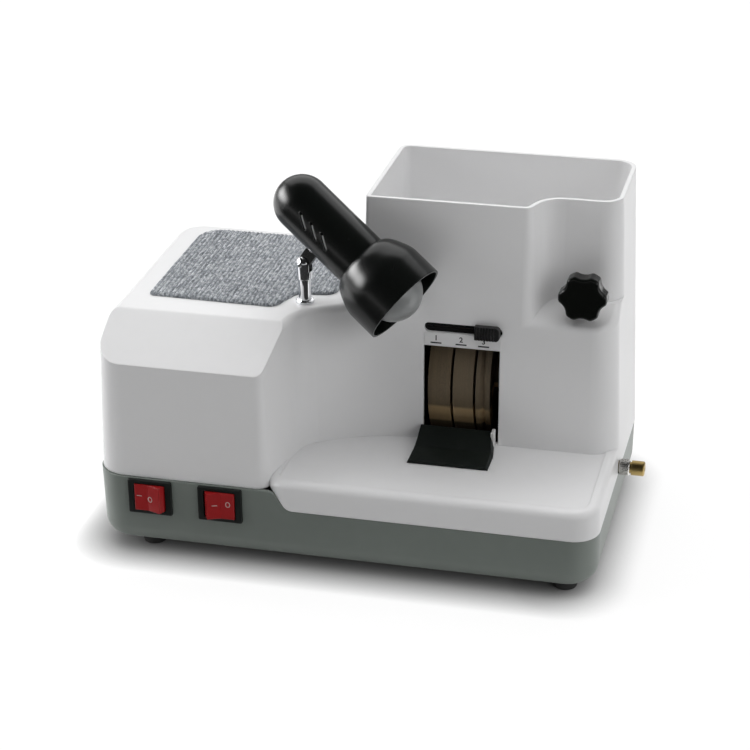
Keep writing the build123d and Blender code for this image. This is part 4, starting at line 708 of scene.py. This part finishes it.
def make_knit_material():
    """Heathered grey yarn: dark and pale fibres in each stitch, and painted shade in the creases between the
    rows.
    """
    material, w, shader = start_material("heather_knit", Sheen_Weight=0.25, Sheen_Roughness=0.5)
    shader.inputs["Specular IOR Level"].default_value = 0.15
    where = w.coords()
    flecks = w.noise(w.coords((1.0, 0.36, 1.0), (0, 0, math.radians(12))), 880.0, 3.0, 0.6)
    pairs = w.noise(w.coords((1.0, 0.45, 1.0), (0, 0, math.radians(-14))), 430.0, 2.0, 0.6)
    broad = w.noise(where, 26.0, 3.0)
    blend = w.math("ADD", w.math("MULTIPLY", flecks, 0.6), w.math("MULTIPLY", pairs, 0.4))
    ramp = w.node("ShaderNodeValToRGB")
    stops = (
        (0.36, (0.08, 0.088, 0.10)), (0.46, (0.22, 0.24, 0.26)),
        (0.54, (0.40, 0.42, 0.445)), (0.64, (0.72, 0.74, 0.765)),
    )
    for element, (position, colour) in zip(ramp.color_ramp.elements, stops):
        element.position, element.color = position, (*colour, 1)
    for position, colour in stops[2:]:
        ramp.color_ramp.elements.new(position).color = (*colour, 1)
    w.join(blend, ramp.inputs[0])
    place = w.node("ShaderNodeSeparateXYZ")
    w.join(w.node("ShaderNodeTexCoord").outputs["Object"], place.inputs[0])
    # Painted shade: darker in the creases between the knitted rows, where the relief dips.
    row = w.math("MULTIPLY", w.math("SUBTRACT", place.outputs["X"], mm(LEFT)), math.pi / mm(RIB_PITCH))
    painted_crease_shade = w.span(w.math("ABSOLUTE", w.math("SINE", row)), 0.05, 0.55, 0.7, 0.0)
    tint = w.mix(painted_crease_shade, ramp.outputs[0], (0.062, 0.07, 0.078, 1))
    tint = w.mix(w.span(broad, 0.35, 0.7, 0.0, 0.14), tint, (0.42, 0.44, 0.46, 1))
    w.join(tint, shader.inputs["Base Color"])
    shader.inputs["Roughness"].default_value = 0.9
    add_bump(w, shader, flecks, 0.7, mm(0.25))
    return material


make_knit_mat()


# ---------------------------------------------------------------- printed marks
def ray_tree(node):
    """Ray lookup on a CAD node, which sits at the origin."""
    bm = bmesh.new()
    bm.from_mesh(nodes[node].data)
    tree = BVHTree.FromBMesh(bm)
    bm.free()
    return tree


def thicken_ink(obj, thick):
    """Turns a flat mark to the front and gives it a body."""
    for face in obj.data.polygons:
        if face.normal.y > 0:
            face.flip()
    solid = obj.modifiers.new("thickness", "SOLIDIFY")
    solid.thickness = mm(thick)
    solid.offset = 1.0
    baked(obj)


def print_on_front(name, points, faces, node, material, slot_name, thick=0.08):
    """A printed mark laid on a node's front: points are (from_left, height) in millimetres."""
    tree = ray_tree(node)
    verts = []
    for from_left, height in points:
        start = spot(from_left, -30.0, height)
        hit, _, _, _ = tree.ray_cast(start, Vector((0, 1, 0)))
        verts.append(hit - Vector((0, mm(0.02), 0)))
    obj = show(name, verts, [], faces)
    thicken_ink(obj, thick)
    finish_piece(obj, body_named(node), material, smooth=False)


def bar_mark(centre, size, cuts=6):
    """Points and faces of a flat bar, cut along its length."""
    (cx, cz), (wide, tall) = centre, size
    points = [(cx - wide / 2 + wide * i / cuts, cz + s * tall / 2) for i in range(cuts + 1) for s in (-1, 1)]
    faces = [(2 * i, 2 * i + 2, 2 * i + 3, 2 * i + 1) for i in range(cuts)]
    return points, faces


def ring_mark(centre, outer, stroke, steps=28):
    """Points and faces of a flat oval ring."""
    cx, cz = centre
    points = []
    for i in range(steps):
        a = 2 * math.pi * i / steps
        for inset in (0.0, stroke):
            points.append((cx + (outer[0] - inset) * math.cos(a), cz + (outer[1] - inset) * math.sin(a)))
    faces = [(2 * i, 2 * i + 1, (2 * i + 3) % (2 * steps), (2 * i + 2) % (2 * steps)) for i in range(steps)]
    return points, faces


for node, bar_at, ring_at in (
    ("motor_switch_rocker", (33.4, 47.2), (41.2, 45.2)),
    ("lamp_switch_rocker", (87.2, 46.4), (96.2, 47.4)),
):
    ink = finishes["print_pale"]
    print_on_front(node + "_bar_mark", *bar_mark(bar_at, (3.6, 0.6)), node, ink, "rocker")
    print_on_front(node + "_ring_mark", *ring_mark(ring_at, (1.7, 2.15), 0.55), node, ink, "rocker")


# ---------------------------------------------------------------- numbered strip over the wheels
STRIP = (211.0, 264.2, 136.4, 145.2)
STRIP_THICK = 0.25
DIGIT_TALL, DIGIT_LINE, TICK_LINE = 3.8, 141.6, 138.0


def on_tower(from_left, height, proud):
    """A point on the tower's leaning front, standing proud of it."""
    return spot(from_left, tower_face(height) - proud, height)


def make_strip():
    """Pale strip with rounded corners, stuck under the selector's slot."""
    x0, x1, z0, z1 = STRIP
    outline = rounded_outline([(x0, z0, 0.8), (x1, z0, 0.8), (x1, z1, 0.8), (x0, z1, 0.8)], 5)
    count = len(outline)
    verts = [on_tower(p.x, p.y, STRIP_THICK) for p in outline] + [on_tower(p.x, p.y, 0.0) for p in outline]
    faces = [list(range(count))]
    faces += [[i, i + count, (i + 1) % count + count, (i + 1) % count] for i in range(count)]
    faces.append(list(range(2 * count - 1, count - 1, -1)))
    strip = show("numbered_strip", verts, [], faces)
    tidy_mesh(strip.data)
    finish_piece(strip, housing, finishes["label"], smooth=False)


def glyph_mesh(text, height):
    """A character as a flat mesh, centred, in millimetres of capital height."""
    curve = bpy.data.curves.new("glyph", "FONT")
    curve.body = text
    curve.size = 1.0
    curve.offset = 0.022
    curve.resolution_u = 3
    obj = bpy.data.objects.new("glyph", curve)
    bpy.context.scene.collection.objects.link(obj)
    mesh = bpy.data.meshes.new_from_object(obj.evaluated_get(bpy.context.evaluated_depsgraph_get()))
    bpy.data.objects.remove(obj)
    points = np.array([v.co[:2] for v in mesh.vertices])
    low, high = points.min(0), points.max(0)
    points = (points - (low + high) / 2) * height / (high[1] - low[1])
    return points, [list(face.vertices) for face in mesh.polygons]


def make_numbers():
    """Plain numbers 1 to 3, one over each wheel, each over a short tick."""
    verts, faces = [], []

    def lay(points, rings):
        start = len(verts)
        for a, b in points:
            verts.append(on_tower(a, b, STRIP_THICK + 0.03))
        faces.extend([start + i for i in ring] for ring in rings)

    for text, from_left in (("1", 219.4), ("2", 236.8), ("3", 252.4)):
        points, rings = glyph_mesh(text, DIGIT_TALL)
        lay([(from_left + a, DIGIT_LINE + b) for a, b in points], rings)
        lay(*bar_mark((from_left, TICK_LINE), (7.6, 0.95), 1))
    numbers = show("wheel_numbers", verts, [], faces)
    thicken_ink(numbers, 0.06)
    finish_piece(numbers, housing, finishes["print_dark"], smooth=False)


make_strip()
make_numbers()


# ---------------------------------------------------------------- vent lips, and fins of painted light
LAMP_HEADING, LAMP_PITCH = math.radians(-18.2), math.radians(35.0)
LAMP_PIN = spot(130.3, 81.4, 193.0)
PIN_OFFSET, LAMP_REACH = 35.0, 72.7
LAMP_LENGTH, LAMP_RADIUS = 97.7, 19.4
VENT_SETBACK, VENT_PITCH = 13.0, 9.8
VENT_RISE, VENT_SLANT = math.radians(12.0), math.radians(33.0)
VENT_HALF_RUN, VENT_END = 5.25, 1.2


def vent_paths(flat_points, radius, closed):
    """A path for each vent, wrapped on the lamp's body: flat_points are (along, over) in millimetres."""
    level = math.cos(LAMP_PITCH)
    aim = Vector((math.cos(LAMP_HEADING) * level, math.sin(LAMP_HEADING) * level, -math.sin(LAMP_PITCH)))
    across = Vector((-math.sin(LAMP_HEADING), math.cos(LAMP_HEADING), 0))
    lamp_up = aim.cross(across)
    rim = LAMP_PIN + lamp_up * mm(PIN_OFFSET) + aim * mm(LAMP_REACH)
    verts, edges = [], []
    for side in (1, -1):
        outward = across * (-side * math.cos(VENT_RISE)) + lamp_up * math.sin(VENT_RISE)
        flat_x, flat_y = -aim, outward.cross(-aim)
        along = flat_x * math.cos(-side * VENT_SLANT) + flat_y * math.sin(-side * VENT_SLANT)
        over = outward.cross(along)
        tangent = outward.cross(aim)
        for index in range(3):
            centre = rim - aim * mm(LAMP_LENGTH - VENT_SETBACK - index * VENT_PITCH)
            start, count = len(verts), len(flat_points)
            for a, b in flat_points:
                flat = along * mm(a) + over * mm(b)
                beside = flat.dot(tangent)
                depth = math.sqrt(mm(radius) ** 2 - beside ** 2)
                verts.append(centre + aim * flat.dot(aim) + tangent * beside + outward * depth)
            edges += [(start + k, start + k + 1) for k in range(count - 1)]
            if closed:
                edges.append((start + count - 1, start))
    return verts, edges


def vent_bead(name, paths, bead, finish):
    """A bead along paths on the lamp's body."""
    obj = show(name, *paths, [])
    grow(obj, BEAD, Bead_Radius=mm(bead), Sides=8, Finish=finishes[finish])
    finish_piece(obj, body_named("lamp_body"), None)


def lip_point(turn):
    """A point of a vent's outline, which has straight sides and round ends."""
    straight = VENT_HALF_RUN if math.cos(turn) > 0 else -VENT_HALF_RUN
    return straight + VENT_END * math.cos(turn), VENT_END * math.sin(turn)


lip_line = [lip_point(2 * math.pi * k / 28) for k in range(28)]
# Grey fins inside each vent stand in for light falling on the vents' inner walls: painted light.
lit_stroke_line = [(-5.6 + 9.6 * k / 8, 0.0) for k in range(9)]
vent_bead("vent_lips", vent_paths(lip_line, LAMP_RADIUS, True), 0.38, "lamp_black")
vent_bead("vent_fins", vent_paths(lit_stroke_line, LAMP_RADIUS - 0.75, False), 0.55, "liner")


# ---------------------------------------------------------------- rubber lips behind the selector's slot
SLOT_LIPS = (("slot_seal_low", 143.0, 148.85), ("slot_seal_high", 149.15, 155.0))
LIP_SIDES, LIP_DEPTHS = (207.5, 268.5), (2.55, 3.05)


def make_slot_seal():
    """Two black lips that meet behind the slot and close it off from the wheels."""
    for name, low, high in SLOT_LIPS:
        verts = []
        for from_left in LIP_SIDES:
            for height in (low, high):
                for depth in LIP_DEPTHS:
                    verts.append(on_tower(from_left, height, -depth))
        faces = [(0, 1, 3, 2), (4, 6, 7, 5), (0, 4, 5, 1), (2, 3, 7, 6), (0, 2, 6, 4), (1, 5, 7, 3)]
        lip = show(name, verts, [], faces)
        tidy_mesh(lip.data)
        edge = lip.modifiers.new("edge", "BEVEL")
        edge.width = mm(0.12)
        edge.segments = 2
        finish_piece(lip, housing, finishes["seal"], smooth=False)


make_slot_seal()


# ---------------------------------------------------------------- screw heads with cross recesses
def cross_head(name, head_radius, head_height):
    """One pan head with a tapered cross recess, facing +Z, its seat at the origin."""
    bm = bmesh.new()
    count = 24
    rings = []
    for radius, height in ((1.0, 0.0), (1.0, 0.45), (0.9, 0.8), (0.72, 1.0)):
        rings.append([
            bm.verts.new((head_radius * radius * math.cos(2 * math.pi * i / count),
                          head_radius * radius * math.sin(2 * math.pi * i / count), head_height * height))
            for i in range(count)
        ])
    for low, high in zip(rings, rings[1:]):
        for i in range(count):
            bm.faces.new((low[i], low[(i + 1) % count], high[(i + 1) % count], high[i]))
    bm.faces.new(rings[0][::-1])
    arm, half = head_radius * 0.52, head_radius * 0.11
    shape = [(arm, -half), (arm, half), (half, half), (half, arm), (-half, arm), (-half, half),
             (-arm, half), (-arm, -half), (-half, -half), (-half, -arm), (half, -arm), (half, -half)]
    top_ring = [bm.verts.new((x, y, head_height)) for x, y in shape]
    floor_ring = [bm.verts.new((x * 0.6, y * 0.6, head_height * 0.25)) for x, y in shape]
    edges = [bm.edges.new((top_ring[i - 1], top_ring[i])) for i in range(len(shape))]
    outer = [e for e in bm.edges if e.verts[0] in rings[-1] and e.verts[1] in rings[-1]]
    bmesh.ops.triangle_fill(bm, use_beauty=True, use_dissolve=False, edges=edges + outer)
    for i in range(len(shape)):
        bm.faces.new((top_ring[i - 1], floor_ring[i - 1], floor_ring[i], top_ring[i]))
    bm.faces.new(floor_ring)
    bmesh.ops.recalc_face_normals(bm, faces=bm.faces)
    mesh = bpy.data.meshes.new(name)
    bm.to_mesh(mesh)
    bm.free()
    return bpy.data.objects.new(name, mesh)


def islands(node):
    """Lowest and highest corner of each loose part of a CAD node."""
    bm = bmesh.new()
    bm.from_mesh(nodes[node].data)
    bmesh.ops.remove_doubles(bm, verts=bm.verts, dist=1e-6)
    left = set(bm.verts)
    found = []
    while left:
        stack, group = [left.pop()], []
        while stack:
            vert = stack.pop()
            group.append(vert.co.copy())
            for edge in vert.link_edges:
                other = edge.other_vert(vert)
                if other in left:
                    left.remove(other)
                    stack.append(other)
        points = np.array(group)
        found.append((points.min(0), points.max(0)))
    bm.free()
    return sorted(found, key=lambda box: tuple(box[0]))


HEAD_PROUD = 0.12


def dress_screws(node, facing, head_radius, head_height):
    """Recessed heads over a node's plain ones: facing is the way the heads look."""
    head = cross_head(node + "_head", mm(head_radius), mm(head_height))
    bpy.context.scene.collection.objects.link(head)
    points = []
    look_way = Vector(facing)
    for low, high in islands(node):
        centre = Vector((low + high) / 2)
        reach = Vector((high - low) / 2)
        face = centre + Vector(tuple(f * r for f, r in zip(look_way, reach)))
        points.append(face - look_way * mm(head_height - HEAD_PROUD))
    heads = show(node + "_heads", points, [], [])
    aims = heads.data.attributes.new("facing", "FLOAT_VECTOR", "POINT")
    for item in aims.data:
        item.vector = facing
    grow(heads, SCREWS, Head=head, Turn_Seed=3, Finish=finishes["screw"])
    bpy.data.objects.remove(head)
    finish_piece(heads, body_named(node), None, smooth=False)


dress_screws("inlet_screws", (0, 1, 0), 2.8, 1.72)
dress_screws("foot_screws", (0, 0, -1), 3.8, 2.1)
dress_screws("cover_screws", (0, 0, -1), 3.8, 2.1)


# ---------------------------------------------------------------- knurl on the drain's collar
def make_knurl(name, node, start, length, radius, count, material):
    """Fine straight ribs round a collar that lies along X."""
    obj = show(name, [], [], [])
    grow(obj, RIBS, Radius=mm(radius), Rib_Width=mm(0.7), Rib_Height=mm(0.5), Rib_Length=mm(length),
         Count=count, Finish=material)
    middle = start + Vector((mm(length) / 2, 0, 0))
    obj.data.transform(Matrix.Translation(middle) @ Matrix.Rotation(math.pi / 2, 4, "Y"))
    finish_piece(obj, body_named(node), None, smooth=False)


make_knurl("drain_collar_knurl", "drain_collar", spot(347.4, 105.5, 50.0), 5.2, 5.5, 28,
           finishes["nickel"])


# ---------------------------------------------------------------- camera
eye = mm(328.0, -1358.3, 758.8)
yaw, pitch, roll = (math.radians(a) for a in (13.94, 25.12, -0.64))
right = Vector((math.cos(yaw), math.sin(yaw), 0))
ahead = Vector((-math.sin(yaw), math.cos(yaw), 0))
look = ahead * math.cos(pitch) - Vector((0, 0, 1)) * math.sin(pitch)
up = ahead * math.sin(pitch) + Vector((0, 0, 1)) * math.cos(pitch)
side = right * math.cos(roll) + up * math.sin(roll)
top = up * math.cos(roll) - right * math.sin(roll)
camera = bpy.data.objects.new("camera", bpy.data.cameras.new("camera"))
bpy.context.scene.collection.objects.link(camera)
camera.matrix_world = Matrix((
    (side.x, top.x, -look.x, eye.x),
    (side.y, top.y, -look.y, eye.y),
    (side.z, top.z, -look.z, eye.z),
    (0, 0, 0, 1),
))
camera.data.sensor_width = 36.0
camera.data.lens = 106.18
camera.data.clip_end = 50.0
bpy.context.scene.camera = camera
bpy.context.scene.view_settings.view_transform = "Standard"


# ---------------------------------------------------------------- floor and light
def stage_sheet(name, corners, material):
    """A flat sheet of the studio, which is no part of the machine."""
    sheet = show(name, corners, [], [(0, 1, 2, 3)])
    sheet.data.materials.append(material)
    return sheet


def only_glossy(sheet):
    """Leaves a sheet visible in glossy faces alone."""
    sheet.visible_camera = sheet.visible_diffuse = sheet.visible_shadow = sheet.visible_transmission = False


def make_floor():
    """Pale sweep under the machine; it reads white to the camera and keeps the shadow, and a painted shadow
    dims its glow near the machine, less on its right.
    """
    material, w, shader = start_material("pale_floor", Roughness=0.9)
    path = w.node("ShaderNodeLightPath")
    w.join(w.span(path.outputs["Is Camera Ray"], 0.0, 1.0, 0.62, 0.16), shader.inputs["Base Color"])
    seen = w.math("MAXIMUM", path.outputs["Is Camera Ray"], path.outputs["Is Glossy Ray"])
    seen = w.math("MAXIMUM", seen, path.outputs["Is Transmission Ray"])
    # Painted shadow: the glow seen by the camera and in glossy faces fades near the machine, by occlusion
    # leant to the right, so it is darker at the front and left.
    near = w.node("ShaderNodeAmbientOcclusion", samples=24)
    near.inputs["Distance"].default_value = mm(30.0)
    lean = w.node("ShaderNodeCombineXYZ")
    lean.inputs["X"].default_value, lean.inputs["Z"].default_value = 0.35, 0.94
    w.join(lean.outputs[0], near.inputs["Normal"])
    painted_shadow = w.math("POWER", near.outputs["AO"], 2.3)
    w.join(w.math("MULTIPLY", w.math("MULTIPLY", seen, 0.86), painted_shadow), shader.inputs["Emission Strength"])
    shader.inputs["Emission Color"].default_value = (1, 1, 1, 1)
    far = 30.0
    stage_sheet("floor", [(-far, -far, 0), (far, -far, 0), (far, far, 0), (-far, far, 0)], material)


def make_backdrop():
    """White sheet behind the bench, seen directly and, dimmer, in glossy faces; it lights nothing."""
    material, w, shader = start_material("backdrop_white", Roughness=1.0)
    shader.inputs["Base Color"].default_value = (0, 0, 0, 1)
    shader.inputs["Specular IOR Level"].default_value = 0.0
    path = w.node("ShaderNodeLightPath")
    seen = w.math("MAXIMUM", path.outputs["Is Camera Ray"], path.outputs["Is Transmission Ray"])
    reflected = w.math("MULTIPLY", path.outputs["Is Glossy Ray"], 0.3)
    w.join(w.math("MAXIMUM", seen, reflected), shader.inputs["Emission Strength"])
    shader.inputs["Emission Color"].default_value = (1, 1, 1, 1)
    stage_sheet("backdrop", [(-4, 2.8, 0.05), (4, 2.8, 0.05), (4, 2.8, 1.9), (-4, 2.8, 1.9)], material)


def make_black_flag():
    """Dark cloth in front of the machine that only glossy faces see: it deepens their blacks."""
    material, w, shader = start_material("flag_cloth", Roughness=1.0)
    shader.inputs["Base Color"].default_value = (0.01, 0.01, 0.01, 1)
    low = 0.0006
    corners = [(-1.3, -1.6, low), (1.3, -1.6, low), (1.3, -0.135, low), (-1.3, -0.135, low)]
    only_glossy(stage_sheet("black_flag", corners, material))


def make_soft_card():
    """Bright card at the far left, strongest in its middle, which only glossy faces see."""
    material, w, shader = start_material("card_glow", Roughness=1.0)
    shader.inputs["Base Color"].default_value = (0, 0, 0, 1)
    place = w.node("ShaderNodeSeparateXYZ")
    w.join(w.node("ShaderNodeTexCoord").outputs["Object"], place.inputs[0])
    wide = w.span(w.math("ABSOLUTE", w.math("ADD", place.outputs["Y"], 0.3)), 0.5, 1.7, 1.0, 0.0)
    tall = w.span(w.math("ABSOLUTE", w.math("SUBTRACT", place.outputs["Z"], 1.0)), 0.25, 0.7, 1.0, 0.0)
    w.join(w.math("MULTIPLY", w.math("MULTIPLY", wide, tall), 13.0), shader.inputs["Emission Strength"])
    shader.inputs["Emission Color"].default_value = (1, 1, 1, 1)
    corners = [(-2.1, -2.0, 0.3), (-2.1, 1.4, 0.3), (-2.1, 1.4, 1.7), (-2.1, -2.0, 1.7)]
    only_glossy(stage_sheet("soft_card", corners, material))


def soft_lamp(name, place, target, size, power, glossy=True):
    """A rectangular studio light aimed at a point."""
    data = bpy.data.lights.new(name, "AREA")
    data.shape = "RECTANGLE"
    data.size, data.size_y = size
    data.energy = power
    lamp = bpy.data.objects.new(name, data)
    bpy.context.scene.collection.objects.link(lamp)
    lamp.visible_glossy = glossy
    lamp.location = place
    lamp.rotation_euler = (Vector(target) - Vector(place)).to_track_quat("-Z", "Y").to_euler()


def make_world():
    """White surroundings, dimmer as a light than as a background."""
    world = bpy.data.worlds.new("studio")
    world.use_nodes = True
    bpy.context.scene.world = world
    w = Wires(world.node_tree)
    ground = world.node_tree.nodes["Background"]
    ground.inputs["Color"].default_value = (1, 1, 1, 1)
    path = w.node("ShaderNodeLightPath")
    seen = w.math("MAXIMUM", path.outputs["Is Camera Ray"], path.outputs["Is Transmission Ray"])
    w.join(w.span(seen, 0.0, 1.0, 0.02, 1.0), ground.inputs["Strength"])


make_floor()
make_world()
make_backdrop()
make_black_flag()
make_soft_card()
soft_lamp("overhead", (-0.1, 0.1, 2.0), (0, 0, 0.1), (2.4, 2.2), 26.5, glossy=False)
soft_lamp("back_light", (-0.3, 1.6, 1.9), (0, 0, 0.15), (3.6, 2.4), 34.0)
soft_lamp("left_window", (-1.8, -0.12, 0.75), (0, 0, 0.2), (1.6, 0.6), 15.0, glossy=False)
soft_lamp("right_front", (1.4, -1.0, 0.7), (0, 0, 0.12), (1.0, 1.0), 6.0)
soft_lamp("right_fill", (1.7, -0.1, 0.8), (0, 0, 0.12), (1.2, 1.2), 3.8)
